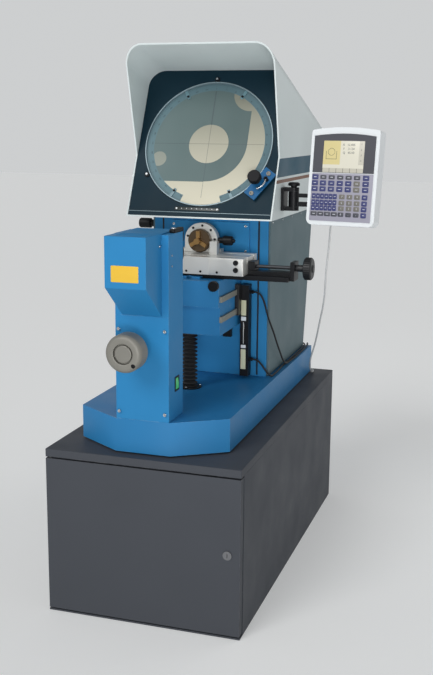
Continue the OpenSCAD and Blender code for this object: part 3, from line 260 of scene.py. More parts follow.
# Pale jacket of the display's cable.
pale_rubber = surface("pale_cable_jacket", "C9CBCB", 0.5, grain=1.0, bump=0.06)
# White moulded case of the display.
white_plastic = surface("white_moulding", "E8ECEE", 0.38, grain=0.9, bump=0.1, shade=0.02, wear="F4F6F6")
# Unglazed lamp holder.
ceramic = surface("unglazed_ceramic", "DBD6CC", 0.7, grain=0.7, bump=0.15)
print("surfaces made:", len(bpy.data.materials))

# %% [markdown]
# The hood's sides carry a painted teal band with a thin brown line below it. A painter would mask
# them by height, so the paint's own colour is masked by height here too, and only on the two flat
# sides. A pattern is written as a table, one row for each step of the drawing: its name, the
# operation and what goes in. One function turns a table into nodes, in the object's own axes or in
# a plane that is laid in them. The same way gives one CAD node two materials where a rod carries a
# wheel.

# %% Painted bands and two-part finishes
def draw(material, steps, at=(0, 0, 0), turned=(0, 0, 0)):
    tree = material.node_tree
    place = add_node(tree, "TexCoord").outputs["Object"]
    laid = add_node(tree, "Mapping", {"Vector": place, "Location": at, "Rotation": turned},
                    vector_type="TEXTURE").outputs["Vector"]
    axes = add_node(tree, "SeparateXYZ", {"Vector": laid}).outputs
    flat = add_node(tree, "CombineXYZ", {"X": axes["X"], "Y": axes["Y"]}).outputs["Vector"]
    found = {"x": axes["X"], "y": axes["Y"], "z": axes["Z"]}
    for name, operation, *terms in steps:
        terms = [found.get(term, term) for term in terms]
        if operation == "DISTANCE":
            result = add_node(tree, "VectorMath", {0: flat, 1: (*terms, 0)}, operation=operation)
            found[name] = result.outputs["Value"]
            continue
        folds = operation in ("MULTIPLY", "MAXIMUM")
        rounds = [[term] for term in terms[1:]] if folds else [terms[1:]]
        found[name] = terms[0]
        for others in rounds:
            inputs = dict(enumerate([found[name], *others]))
            found[name] = add_node(tree, "Math", inputs, operation=operation).outputs["Value"]
    return found


def shader_of(material):
    return next(n for n in material.node_tree.nodes if n.type == "BSDF_PRINCIPLED")


def overpaint(material, mask, colour, rough=None, metal=None):
    tree = material.node_tree
    sockets = shader_of(material).inputs
    below = sockets["Base Color"].links[0].from_socket
    above = add_node(tree, "Mix", {0: mask, 6: below, 7: colour}, data_type="RGBA")
    tree.links.new(above.outputs[2], sockets["Base Color"])
    for socket, value in ((sockets["Roughness"], rough), (sockets["Metallic"], metal)):
        if value is not None:
            old = socket.links[0].from_socket if socket.links else socket.default_value
            above = add_node(tree, "Mix", {0: mask, 2: old, 3: value}, data_type="FLOAT")
            tree.links.new(above.outputs[0], socket)


bands = draw(white_paint, (
    ("side", "ABSOLUTE", "x"),
    ("flank", "GREATER_THAN", "side", 0.2032),
    ("wide", "COMPARE", "z", 1.0905, 0.0245),
    ("thin", "COMPARE", "z", 1.0550, 0.0045),
    ("band", "MULTIPLY", "wide", "flank"),
    ("line", "MULTIPLY", "thin", "flank")))
overpaint(white_paint, bands["band"], linear("0C4B60"))
overpaint(white_paint, bands["line"], linear("7E5844"))

# Cross feed: an oiled dark screw with its turning marks, and a black moulded wheel.
feed_finish = surface("dark_screw_and_black_wheel", "3C3D40", 0.42, metal=0.6, grain=0.6, bump=0.15,
                      stretch=(4, 0.3, 0.3))
# Chuck: old mottled bronze with brighter brass jaws.
chuck_finish = surface("bronze_chuck_and_brass_jaws", "4F3F2B", 0.45, metal=0.5, grain=2.5, bump=0.4,
                       shade=0.3)
# Reading head: dull grey bars and a black reader.
head_finish = surface("grey_bars_and_black_reader", "8A8A80", 0.45, metal=0.3, grain=1.0, bump=0.12)
for finish, side_of, axis, limit, code, rough, metal in (
        (feed_finish, "GREATER_THAN", "x", 0.2745, "121316", 0.42, 0.0),
        (chuck_finish, "LESS_THAN", "y", -0.0803, "97774A", 0.32, 0.8),
        (head_finish, "GREATER_THAN", "y", -0.0463, "17181B", 0.4, None)):
    mask = draw(finish, [("mask", side_of, axis, limit)])["mask"]
    overpaint(finish, mask, linear(code), rough, metal)
print("two-part finishes done")

# %% [markdown]
# Glass comes in three kinds here. The lens and lamp are clear, so light passes through them. The
# mirror is silvered on its front. The switch is a green rocker that lets a little of its lamp
# through.

# %% Glass, mirror and the lit rocker
def clear_glass(name, code, glow=0.0):
    material = surface(name, code, 0.05, grain=3.0, bump=0.01, shade=0.02)
    shader = shader_of(material)
    shader.inputs["Transmission Weight"].default_value = 0.92
    shader.inputs["IOR"].default_value = 1.5
    shader.inputs["Emission Color"].default_value = linear("FFE9BE")
    shader.inputs["Emission Strength"].default_value = glow
    return material


# Coated glass: clear, with a cool tint.
lens_glass = clear_glass("coated_lens_glass", "C8D8E4")
# Thin blown glass round a warm filament.
bulb_glass = clear_glass("bulb_glass", "F2EFE6", glow=1.5)
# Silver on the front of the glass: no grain at all.
mirror = surface("silvered_mirror", "E8ECEE", 0.03, metal=1.0, grain=6.0, bump=0.0, shade=0.01)
# Green polycarbonate: glossy, lit a little from within.
rocker = surface("green_rocker", "1E9A5A", 0.3, grain=1.0, bump=0.05)
shader = shader_of(rocker)
shader.inputs["Emission Color"].default_value = linear("2BC06E")
shader.inputs["Emission Strength"].default_value = 0.25
print("glass materials:", lens_glass.name, bulb_glass.name)

# %% [markdown]
# The ground glass shows what the machine is for, painted on as light and shade: a lit field of painted
# light with the painted grey shadow of a part, cut by fine cross lines, inside a frosted scale of degrees.
# The table is drawn in the screen's own plane, so x runs across the glass and y up it, in metres from its
# middle. The lamp's light falls off towards the top, painted as a darker lit field there, and a painted
# shade darkens the glass and its scale slowly to the right. A weak painted glow, stronger on the lit
# field, stands in for the lamp's light through the glass.

# %% Screen image
LEAN = math.radians(90 - 24.77)
SCREEN_AT = Vector((0, -0.003891, 1.151170))
DISC = 0.0555
CORNER = 0.108
HALF_TICK = 0.14
# Ground glass: matt, with a grain as fine as flour. Its base colour is the painted grey shadow.
ground_glass = surface("ground_glass", "617676", 0.55, grain=0.5, bump=0.08, shade=0.06)
image = draw(ground_glass, (
    ("radius", "DISTANCE", 0, 0),
    ("disc", "LESS_THAN", "radius", DISC),
    ("below", "LESS_THAN", "y", -0.109),
    ("right_half", "GREATER_THAN", "x", 0.0),
    ("lower_half", "LESS_THAN", "y", 0.0),
    ("outside", "GREATER_THAN", "radius", CORNER),
    ("corner", "MULTIPLY", "right_half", "lower_half", "outside"),
    ("beside", "GREATER_THAN", "x", CORNER),
    ("under_lobe", "LESS_THAN", "y", 0.10),
    ("open_side", "MULTIPLY", "beside", "under_lobe"),
    ("from_lobe", "DISTANCE", 0.103, 0.146),
    ("lobe", "LESS_THAN", "from_lobe", 0.050),
    ("from_ghost", "DISTANCE", -0.136, -0.045),
    ("in_ghost", "LESS_THAN", "from_ghost", 0.021),
    ("ghost", "MULTIPLY", "in_ghost", 0.45),
    ("lit", "MAXIMUM", "disc", "below", "corner", "open_side", "lobe", "ghost"),
    ("angle", "ARCTAN2", "x", "y"),
    ("from_top", "ABSOLUTE", "angle"),
    ("open_arc", "LESS_THAN", "from_top", math.radians(161)),
    ("rim", "GREATER_THAN", "radius", 0.156),
    ("band", "MULTIPLY", "rim", "open_arc"),
    ("degrees", "MULTIPLY", "angle", 180 / math.pi),
    ("off_one", "PINGPONG", "degrees", 0.5),
    ("one", "LESS_THAN", "off_one", HALF_TICK),
    ("past_short", "GREATER_THAN", "radius", 0.1705),
    ("short", "MULTIPLY", "one", "past_short", "band"),
    ("off_ten", "PINGPONG", "degrees", 5.0),
    ("ten", "LESS_THAN", "off_ten", HALF_TICK),
    ("past_long", "GREATER_THAN", "radius", 0.1665),
    ("long", "MULTIPLY", "ten", "past_long", "band"),
    ("inside", "LESS_THAN", "radius", 0.1545),
    ("upright", "COMPARE", "x", 0.0, 0.0006),
    ("level", "COMPARE", "y", 0.0, 0.0006),
    ("cross", "MAXIMUM", "upright", "level"),
    ("hair", "MULTIPLY", "cross", "inside"),
    ("middle", "COMPARE", "x", 0.0, 0.0016),
    ("above_disc", "GREATER_THAN", "y", DISC),
    ("seam", "MULTIPLY", "middle", "above_disc", "inside"),
    ("lines", "MAXIMUM", "short", "long", "hair", "seam"),
    ("marks", "MULTIPLY", "lines", 0.62),
    ("climb", "MULTIPLY_ADD", "y", 0.8, 0.5),
    ("drift", "MULTIPLY_ADD", "x", 1.6, "climb"),
    ("painted_shade_right", "MULTIPLY", "drift", 0.9),
    ("fall", "MULTIPLY_ADD", "y", 3.1, 0.60),
    ("glow", "MULTIPLY_ADD", "lit", 0.07, 0.04)), SCREEN_AT, (LEAN, 0, 0))
tree = ground_glass.node_tree
# Painted shade: the glass darkens towards the right.
overpaint(ground_glass, image["painted_shade_right"], linear("3E4F4E"))
# Painted light and shade: the lit field darker towards the top, the scale band darker to the right.
for mask, fade, first, second in (
        ("lit", "fall", "D6D1BC", "76776A"), ("band", "drift", "5E7D85", "445E66")):
    blend = add_node(tree, "Mix", {0: image[fade], 6: linear(first), 7: linear(second)},
                     data_type="RGBA")
    overpaint(ground_glass, image[mask], blend.outputs[2])
overpaint(ground_glass, image["marks"], linear("3C464A"))
# Painted glow: the glass emits its own colour a little, more on the lit field, for the lamp's light through
# it.
sockets = shader_of(ground_glass).inputs
tree.links.new(sockets["Base Color"].links[0].from_socket, sockets["Emission Color"])
tree.links.new(image["glow"], sockets["Emission Strength"])
print("screen nodes:", len(tree.nodes))

# %% [markdown]
# Every CAD node now takes its finish. Real sheet and castings have no razor edges, so each node
# also gets a small live bevel. The imported mesh is split where its faces meet, so a weld comes
# first, and a weighted normal last keeps the broad faces flat.

# %% Finishes for the CAD nodes
FINISH = {
    grey_paint: ("cabinet_sides", "door_jambs", "cabinet_back", "cabinet_floor", "cabinet_top",
                 "cabinet_door"),
    blue_paint: ("lamp_column", "column_cover", "lamp_house", "body_shell", "body_panel"),
    # The drive bracket takes the darker blue, a painted shade for the shadow under the hood.
    shaded_blue_paint: ("drive_bracket",),
    blue_cast: ("base_casting", "knee"),
    panel_grey: ("body_sides",),
    white_paint: ("head_shell",),
    dark_paint: ("screen_panel",),
    ground_steel: ("work_table", "fixture_body", "elevation_screw", "handwheel_bush", "door_pins"),
    chrome: ("clamp_lever",),
    dull_nickel: ("door_lock",),
    aluminium: ("elevation_handwheel", "mirror_frame"),
    ring_metal: ("screen_ring",),
    clip_plastic: ("chart_clips",),
    head_finish: ("scale_head",),
    black_metal: ("condenser_barrel", "saddle", "nut_block", "lens_barrel", "arm_bracket",
                  "display_arm", "vertical_scale", "guide_rails", "guide_roller_top", "guide_roller_left"),
    black_plastic: ("focus_knob", "fixture_knob", "lens_knob", "drive_knob", "arm_knob"),
    rubber: ("base_feet", "bellows"),
    white_plastic: ("display_housing", "display_front"),
    ceramic: ("lamp_socket",),
    bulb_glass: ("lamp_bulb",),
    lens_glass: ("condenser_lens", "lens_glass"),
    mirror: ("main_mirror",),
    rocker: ("power_switch",),
    feed_finish: ("feed_screw",),
    chuck_finish: ("fixture_chuck",),
    ground_glass: ("ground_glass",),
}
SOFT_EDGE = {"base_casting": 3.0, "head_shell": 1.6, "lamp_house": 2.0, "lamp_column": 0.8, "knee": 2.0,
             "cabinet_top": 2.0, "cabinet_door": 2.0, "display_housing": 4.0, "work_table": 0.8}
NO_BEVEL = ("ground_glass", "lens_glass", "condenser_lens", "lamp_bulb", "main_mirror", "bellows")
finished = 0
for material, names in FINISH.items():
    for name in names:
        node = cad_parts[name]
        node.data.materials.clear()
        node.data.materials.append(material)
        finished += 1
        if name in NO_BEVEL:
            continue
        weld = node.modifiers.new("weld", "WELD")
        weld.merge_threshold = 0.00002
        bevel = node.modifiers.new("soft_edge", "BEVEL")
        bevel.width = SOFT_EDGE.get(name, 0.6) / 1000
        bevel.segments = 2
        bevel.limit_method = "ANGLE"
        bevel.angle_limit = math.radians(38)
        bevel.harden_normals = True
        node.modifiers.new("flat_faces", "WEIGHTED_NORMAL")
for name, cable in cables.items():
    cable.data.materials.clear()
    cable.data.materials.append(pale_rubber if name == "display_cable" else rubber)
print("CAD nodes finished:", finished)

# %% [markdown]
# The bellows keep dust off the elevation screw. A moulder makes them as a tube of folds, and so
# does this cell: a circle at the foot is drawn upwards edge by edge, and each new ring is widened
# or narrowed.

# %% Bellows
def start(add, name, **values):
    bpy.ops.object.select_all(action="DESELECT")
    add(**values)
    piece = bpy.context.object
    piece.name = name
    bpy.ops.object.transform_apply()
    return piece


BELLOWS_AT = Vector((0, -0.154, 0.5118))
bellows = start(bpy.ops.mesh.primitive_circle_add, "bellows_folds", vertices=48, radius=0.0225,
                location=BELLOWS_AT)
bpy.ops.object.mode_set(mode="EDIT")
bpy.ops.mesh.select_all(action="SELECT")
FOLDS = 13
pitch_z = 0.1380 / FOLDS
rings = [(0.0225, 0.0060)]
for fold in range(FOLDS):
    foot = 0.0060 + fold * pitch_z
    rings += [(0.0140, foot + pitch_z * 0.12), (0.0140, foot + pitch_z * 0.28),
              (0.0212, foot + pitch_z * 0.55), (0.0220, foot + pitch_z * 0.66),
              (0.0212, foot + pitch_z * 0.77)]
rings += [(0.0150, 0.1445), (0.0215, 0.1450), (0.0215, 0.1495)]
last_r, last_z = 0.0225, 0.0
for ring_r, ring_z in rings:
    bpy.ops.mesh.extrude_edges_move(TRANSFORM_OT_translate={"value": (0, 0, ring_z - last_z)})
    grow = ring_r / last_r
    bpy.ops.transform.resize(value=(grow, grow, 1), center_override=BELLOWS_AT + Vector((0, 0, ring_z)))
    last_r, last_z = ring_r, ring_z
bpy.ops.mesh.select_all(action="SELECT")
bpy.ops.mesh.normals_make_consistent(inside=False)
bpy.ops.object.mode_set(mode="OBJECT")
bpy.ops.object.shade_smooth_by_angle(angle=math.radians(50))
bellows.data.materials.append(rubber)
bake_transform(bellows)
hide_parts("bellows")
print("bellows rings:", len(rings))

# %% [markdown]
# The bellows stand in a black collar on the deck. It starts as a filled circle, the middle is inset
# and deleted, and a solidify and a bevel give it body and a soft rim. The opening and the applying
# of modifiers come back later, so each is a helper.

# %% Bellows collar
def open_middle(border):
    bpy.ops.object.mode_set(mode="EDIT")
    bpy.ops.mesh.select_all(action="SELECT")
    bpy.ops.mesh.inset(thickness=border, depth=0)
    bpy.ops.mesh.delete(type="FACE")
    bpy.ops.object.mode_set(mode="OBJECT")


def give(piece, kind, **values):
    modifier = piece.modifiers.new(kind.lower(), kind)
    for key, value in values.items():
        setattr(modifier, key, value)
    bpy.ops.object.modifier_apply(modifier=modifier.name)


collar = start(bpy.ops.mesh.primitive_circle_add, "bellows_collar", vertices=48, radius=0.033,
               fill_type="NGON", location=(0, -0.154, 0.5115))
open_middle(0.0095)
give(collar, "SOLIDIFY", thickness=0.005, offset=1)
give(collar, "BEVEL", width=0.001, segments=2, limit_method="ANGLE")
bpy.ops.object.shade_smooth_by_angle(angle=math.radians(35))
collar.data.materials.append(black_metal)
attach(collar, "frame")
print("collar top at", round(max(v.co.z for v in collar.data.vertices), 4))

# %% [markdown]
# Plates, keys and windows are all flat pieces with round corners. One helper makes such a piece
# lying flat about the origin: a plane whose corners are bevelled, given thickness, then a soft rim.
# Others stand a finished piece in its place on a body, copy it, or join several into one.

# %% Plate and placing helpers
def flat_sheet(name, width, height):
    piece = start(bpy.ops.mesh.primitive_plane_add, name, size=1)
    piece.scale = (width, height, 1)
    bpy.ops.object.transform_apply()
    return piece


def rounded_plate(name, width, height, thick, corner, rim):
    piece = flat_sheet(name, width, height)
    bpy.ops.object.mode_set(mode="EDIT")
    bpy.ops.mesh.select_all(action="SELECT")
    bpy.ops.mesh.bevel(offset=corner, segments=5, affect="VERTICES")
    bpy.ops.object.mode_set(mode="OBJECT")
    give(piece, "SOLIDIFY", thickness=thick, offset=1)
    give(piece, "BEVEL", width=rim, segments=2, limit_method="ANGLE", angle_limit=math.radians(60))
    bpy.ops.object.shade_smooth_by_angle(angle=math.radians(35))
    return piece


def join(pieces, name):
    bpy.ops.object.select_all(action="DESELECT")
    for piece in pieces:
        piece.select_set(True)
    whole = pieces[0]
    bpy.context.view_layer.objects.active = whole
    bpy.ops.object.transform_apply()
    bpy.ops.object.join()
    whole.name = name
    return whole


def settle(piece, matrix, body, material):
    piece.matrix_world = matrix @ piece.matrix_world
    bpy.ops.object.select_all(action="DESELECT")
    piece.select_set(True)
    bpy.context.view_layer.objects.active = piece
    bpy.ops.object.transform_apply()
    piece.data.materials.clear()
    piece.data.materials.append(material)
    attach(piece, body)
    return piece


def twin(piece, name):
    copy = piece.copy()
    copy.data = piece.data.copy()
    copy.name = name
    scene.collection.objects.link(copy)
    return copy


def shift(x, y, z):
    return Matrix.Translation((x / 1000, y / 1000, z / 1000))


def turned_by(degrees, axis="Z"):
    return Matrix.Rotation(math.radians(degrees), 4, axis)


def at_front(x, y, z, swing=0):
    return shift(x, y, z) @ turned_by(swing) @ turned_by(90, "X")


def at_right(x, y, z):
    return at_front(x, y, z, 90)


# The bare yellow plate on the lamp house: enamelled tin, rubbed at its rim.
yellow_tin = surface("yellow_enamelled_tin", "E8BC3A", 0.36, grain=1.0, bump=0.05, wear="C9A85A", edge=0.6)
plate = rounded_plate("lamp_plate", 0.066, 0.037, 0.0004, 0.002, 0.0001)
settle(plate, at_front(-1, -587.5, 875), "frame", yellow_tin)
print("plate rim:", len(plate.data.polygons), "faces")

# %% [markdown]
# The rocker switch sits in a black bezel on the column's right side. The bezel is a rounded plate
# with its middle face inset and pushed through, so it frames the rocker without touching it.

# %% Switch bezel
bezel = flat_sheet("switch_bezel", 0.028, 0.036)
open_middle(0.0037)
give(bezel, "SOLIDIFY", thickness=0.0018, offset=1)
give(bezel, "BEVEL", width=0.0006, segments=2, limit_method="ANGLE")
settle(bezel, at_right(67, -436.5, 595.5), "frame", black_plastic)
print("bezel faces:", len(bezel.data.polygons))

# %% [markdown]
# A black clamp lies on the column's top and reaches down behind it to the condenser. It is bent from
# one flat bar, so two rounded plates, one lying and one hanging, are joined into one piece.

# %% Condenser clamp
clamp = rounded_plate("condenser_clamp", 0.0145, 0.066, 0.009, 0.005, 0.002)
clamp.matrix_world = shift(58.8, -415, 955)
tail = rounded_plate("clamp_tail", 0.0145, 0.034, 0.0065, 0.004, 0.002)
tail.matrix_world = at_front(58.8, -384, 947)
join([clamp, tail], "condenser_clamp")
settle(clamp, Matrix.Identity(4), "frame", black_plastic)
print("clamp top at", round(max(v.co.z for v in clamp.data.vertices), 4))

# %% [markdown]
# The back is where the machine breathes and takes its power. A sheet cover closes the slanted mirror
# wall. Its louvres are pressed out of the sheet, so each is a long cushion with a round rim. The
# matrix has the wall's slope in it, so the cover is laid out flat, x to the viewer's right.

# %% Back cover
def at_back(x, up, lift=0.0):
    slope = Matrix(((-1, 0, 0, 0), (0, 0.1938, 0.9810, 0.501), (0, 0.9810, -0.1938, 0.73425), (0, 0, 0, 1)))
    return slope @ shift(x, up, lift)


cover = rounded_plate("rear_cover", 0.264, 0.370, 0.0016, 0.008, 0.0005)
settle(cover, at_back(0, -10), "frame", blue_paint)
louvre = rounded_plate("louvre_pattern", 0.150, 0.013, 0.0050, 0.006, 0.0022)
for index in range(7):
    slat = twin(louvre, f"louvre_{index + 1}")
    settle(slat, at_back(0, 120 - index * 22, 1.6), "frame", blue_paint)
bpy.data.objects.remove(louvre)
print("louvres: 7, cover", round(cover.dimensions.z, 3), "m tall")

# %% [markdown]
# The mains inlet is a black moulding with a well and three blades. The well is made by insetting the
# front face and pushing it back, the blades are thin plates standing in it.

# %% Mains inlet
def sink_top(piece, border, depth):
    for face in piece.data.polygons:
        face.select = face.normal.z > 0.99
    bpy.ops.object.mode_set(mode="EDIT")
    bpy.ops.mesh.select_mode(type="FACE")
    bpy.ops.mesh.inset(thickness=border, depth=0)
    bpy.ops.mesh.extrude_region_move(TRANSFORM_OT_translate={"value": (0, 0, -depth)})
    bpy.ops.object.mode_set(mode="OBJECT")


def at_rear(x, y, z):
    return at_front(x, y, z, 180)


INLET = at_rear(-110, 474.5, 470)
inlet = rounded_plate("mains_inlet", 0.050, 0.034, 0.006, 0.004, 0.0006)
sink_top(inlet, 0.008, 0.0048)
settle(inlet, INLET, "frame", black_plastic)
for index, (x, up) in enumerate(((-7, -2), (0, 3), (7, -2)), 1):
    blade = rounded_plate(f"inlet_blade_{index}", 0.0020, 0.0045, 0.0040, 0.0006, 0.0003)
    settle(blade, INLET @ shift(x, up, 1.2), "frame", chrome)
print("inlet faces:", len(inlet.data.polygons))

# %% [markdown]
# Screws hold the covers. One socket head is modelled: a short cylinder, its top inset and pushed
# in, its rim rounded. Every other screw is a copy with its own mesh, scaled to its own size.

# %% Screws
pattern = start(bpy.ops.mesh.primitive_cylinder_add, "screw_pattern", vertices=24, radius=0.004,
                depth=0.0024, location=(0, 0, 0.0012))
sink_top(pattern, 0.0019, 0.0015)
give(pattern, "BEVEL", width=0.0004, segments=2, limit_method="ANGLE")
bpy.ops.object.shade_smooth_by_angle(angle=math.radians(40))


def at_left(x, y, z):
    return at_front(x, y, z, -90)


SCREEN = Matrix.Translation(SCREEN_AT) @ Matrix.Rotation(LEAN, 4, "X")
DRIVE = SCREEN @ turned_by(-35.4) @ shift(187.8, 0, 0)
ON_FRAME = ("frame", chrome, "chrome")
ON_TABLE = ("table", black_metal, "black_metal")
screws = []
for x, z in ((-58, 531), (58, 531), (-58, 731), (58, 731)):
    screws.append((at_front(x, -493.5, z), 1.0, *ON_FRAME))
for y, z in ((-470, 906), (-470, 881)):
    screws.append((at_right(67, y, z), 0.6, *ON_FRAME))
screws.append((at_right(50, -505, 930), 0.8, *ON_FRAME))
for y in (-34, 34):
    screws.append((DRIVE @ shift(11, y, 11), 1.5, "frame", aluminium, "aluminium"))
for x, z in ((128, 853), (128, 834)):
    screws.append((at_front(x, -161, z), 1.7, *ON_TABLE))
for x, y in ((-100, -158), (-8, -158), (31, -158), (77, -161)):
    screws.append((at_front(x, y, 826), 0.75, *ON_TABLE))
for turn_deg in (5, 45, 85, 125, 165):
    screws.append((at_front(0, -62, 897) @ turned_by(turn_deg) @ shift(39, 0, 0), 0.8, *ON_TABLE))
for turn_deg in (60.5, 119.5, 240.5, 299.5):
    spot = SCREEN @ turned_by(turn_deg) @ shift(157.2, 0, 0.5)
    screws.append((spot, 0.85, "screen", black_plastic, "black_plastic"))
for turn_deg in (90, 210):
    screws.append((SCREEN @ turned_by(turn_deg) @ shift(186.8, 0, 6), 0.8, *ON_FRAME))
for x, z in ((-104, 863), (104, 863), (-104, 931), (104, 931)):
    screws.append((at_front(x, 10, z), 0.9, *ON_FRAME))
screws.append((shift(58.8, -437, 964), 1.3, *ON_FRAME))
for y in (40, 150, 260, 370):
    screws.append((at_right(171, y, 940), 0.7, *ON_FRAME))
    screws.append((at_left(-171, y, 940), 0.7, *ON_FRAME))
for x in (-122, 122):
    for up in (-185, -10, 165):
        screws.append((at_back(x, up, 1.6), 0.9, *ON_FRAME))
    for z in (40, 212, 385):
        screws.append((at_rear(x * 1.75, 521, z), 0.9, *ON_FRAME))
for x, y in ((0, -182), (26, -142)):
    screws.append((shift(x, y, 516.5), 0.8, *ON_FRAME))
for index, (matrix, size, body, material, slot) in enumerate(screws, 1):
    screw = twin(pattern, f"screw_{index:02d}")
    settle(screw, matrix @ Matrix.Scale(size, 4), body, material)
print("screws:", len(screws))

# %% [markdown]
# A small lever locks the ring. Its plated handle is a bent rod with a ball on the end, screwed into a
# black hub. The rod is a curve with a round section, turned to mesh, because a curve bends more evenly
# than a row of extruded rings. The hub is the screw's own pattern, drawn out to its height.

# %% Clamp lever
LEVER = DRIVE @ shift(18, 18, 11.3)
hub = twin(pattern, "clamp_lever_hub")
settle(hub, LEVER @ Matrix.Diagonal((1.45, 1.45, 4.8, 1)), "lever", black_metal)
bpy.data.objects.remove(pattern)
ROD_ROUTE = ((1, -2, 9), (5.2, -12, 9.2), (4.6, -24, 9), (0.5, -33, 8.6))
rod, line = bent_rod("clamp_lever_handle", ROD_ROUTE, 0.0021, 12)
ball = start(bpy.ops.mesh.primitive_uv_sphere_add, "lever_ball", segments=24, ring_count=12,
             radius=0.0034, location=(0.0004, -0.0335, 0.0086))
join([rod, ball], "clamp_lever_handle")
bpy.ops.object.shade_smooth_by_angle(angle=math.radians(50))
settle(rod, LEVER, "lever", chrome)
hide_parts("clamp_lever")
print("lever handle is", round(max(rod.dimensions), 4), "m long")

# %% [markdown]
# Fingers need a grip, so the turned knobs carry fine ribs. One rib is a small rounded plate lying on
# the rim. Copies stand all round it and are joined into one piece that turns with its knob.

# %% Grip ribs
def ribs(name, radius, length, count, matrix, body):
    pieces = []
    for index in range(count):
        rib = rounded_plate("rib", length, 0.0022, 0.0009, 0.0009, 0.0003)
        rib.matrix_world = turned_by(index * 360 / count) @ shift(radius, 0, 0) @ turned_by(90, "Y")
        pieces.append(rib)
    settle(join(pieces, name), matrix, body, black_plastic)


ribs("feed_wheel_ribs", 28.4, 0.015, 30, at_right(304.5, -93, 838), "feed")
ribs("focus_knob_ribs", 12.9, 0.011, 16, at_front(82, -204.2, 796), "focus")
ribs("drive_knob_ribs", 16.9, 0.014, 20, DRIVE @ shift(0, 0, 40), "drive")
ribs("arm_knob_ribs", 14.9, 0.005, 18, shift(233.5, 20, 1046.6), "arm_clamp")
print("ribs made for four knobs")

# %% [markdown]
# The vertical scale has two cream label strips, and a silver glass strip between two white end
# clips. They are thin plates on the front of the black housing.

# %% Vertical scale trim
# Printed card: matt and slightly fibrous.
cream = surface("cream_label_card", "D8D8B8", 0.6, grain=0.8, bump=0.06)
strips = (("label_upper", 711, 42, 14, cream), ("label_lower", 567, 56, 14, cream),
          ("clip_lower", 603, 9, 14, white_plastic), ("clip_upper", 681, 11, 14, white_plastic),
          ("scale_glass", 641, 60, 2, ground_steel))
for name, z, tall, wide, material in strips:
    strip = rounded_plate("scale_" + name, wide / 1000, tall / 1000, 0.001, 0.001, 0.0002)
    settle(strip, at_front(110, -20, z), "frame", material)
print("scale strips:", len(strips))

# %% [markdown]
# The table's front carries a ground end plate with two black clamp screws. The handwheel has a
# small black plug where a crank handle could be fitted.

# %% Table plate and wheel plug
plate = rounded_plate("table_end_plate", 0.092, 0.040, 0.003, 0.002, 0.0005)
settle(plate, at_front(100, -158, 842), "table", ground_steel)
plug = rounded_plate("wheel_plug", 0.0105, 0.0105, 0.0016, 0.0052, 0.0005)
settle(plug, at_front(17.2, -585.9, 666.8), "handwheel", black_plastic)
print("plug rides on the handwheel")

# %% [markdown]
# A black strip darkens the gap between the body's front panel and its shell on both sides: painted shade in
# the gap.
# It is a long thin plate standing in the gap.

# %% Panel gap shade
# Painted shade: black strips standing in the two gaps beside the front panel.
for label, x in (("left", -139), ("right", 139)):
    gap_strip = rounded_plate("gap_shade_strip_" + label, 0.0042, 0.436, 0.0015, 0.001, 0.0003)
    settle(gap_strip, at_front(x, 21, 734), "frame", rubber)
print("gap_strips stand", round(gap_strip.dimensions.z, 3), "m tall")

# %% [markdown]
# Under the screen sits a narrow read-out strip, and along the panel's fold runs a thin bright strip, a
# painted highlight of the fold.
# The strip's marks are plain: a row of ticks and two studs.

# %% Read-out strip and painted fold highlight
# Printed film: smooth, with a slight gloss.
green_black = surface("green_black_film", "12211E", 0.3, grain=0.8, bump=0.03)
strip = rounded_plate("readout_strip", 0.126, 0.0100, 0.0012, 0.003, 0.0003)
settle(strip, SCREEN @ shift(-5.5, -187, 0), "frame", green_black)
for index in range(9):
    size = 0.0052 if index in (0, 8) else 0.0024
    mark = rounded_plate(f"readout_mark_{index + 1}", size, size, 0.0006, size * 0.4, 0.0001)
    spot = SCREEN @ shift(-62.5 + index * 14.2, -187, 1.2)
    settle(mark, spot, "frame", white_plastic)
# Painted highlight: a bright strip laid along the panel's fold.
fold_highlight = rounded_plate("fold_highlight_strip", 0.396, 0.0014, 0.0006, 0.0006, 0.0001)
settle(fold_highlight, shift(0, -88.8, 972.2) @ turned_by(70, "X"), "frame", ring_metal)
print("trim is", round(fold_highlight.dimensions.x, 3), "m long")

# %% [markdown]
# Numbers every ten degrees make the frosted ring a protractor. Each is a text object turned into
# mesh, stood round the ring, and all are joined into one thin print that turns with the screen.

# %% Protractor figures
def figure(text, size, matrix, half_depth=0.00004):
    bpy.ops.object.select_all(action="DESELECT")
    bpy.ops.object.text_add()
    label = bpy.context.object
    label.data.body = text
    label.data.size = size
    label.data.align_x = "CENTER"
    label.data.align_y = "CENTER"
    label.data.extrude = half_depth
    label.data.resolution_u = 2
    bpy.ops.object.convert(target="MESH")
    label = bpy.context.object
    label.matrix_world = matrix
    return label


# Printing ink: flat and dull.
ink = surface("dark_print", "2E383C", 0.6, grain=0.6, bump=0.02)
digits = []
for value in range(0, 360, 10):
    if 170 <= value <= 190:
        continue
    spot = SCREEN @ turned_by(-value) @ shift(0, 161.2, -1.9)
    digits.append(figure(str(value), 0.0052, spot, 0.00005))
figures = join(digits, "protractor_figures")
settle(figures, Matrix.Identity(4), "screen", ink)
print("figures:", len(digits))

# %% [markdown]
# The display's face is a printed film: a grey window frame above, a pale keypad below. Its frame
# matrix turns the face flat, so every key is laid out in millimetres from the middle, x to the
# right and y up, as on a drawing board. The window frame's top is an arch like the case's: a grid
# whose upper edge is raised by a parabola, then given the film's thickness.

# %% Display face
FACE = at_front(378, -57, 1074, -9.7) @ turned_by(-7.2, "X") @ shift(0, -4, 0)


def on_face(x, y, lift):
    return FACE @ shift(x, y, lift)


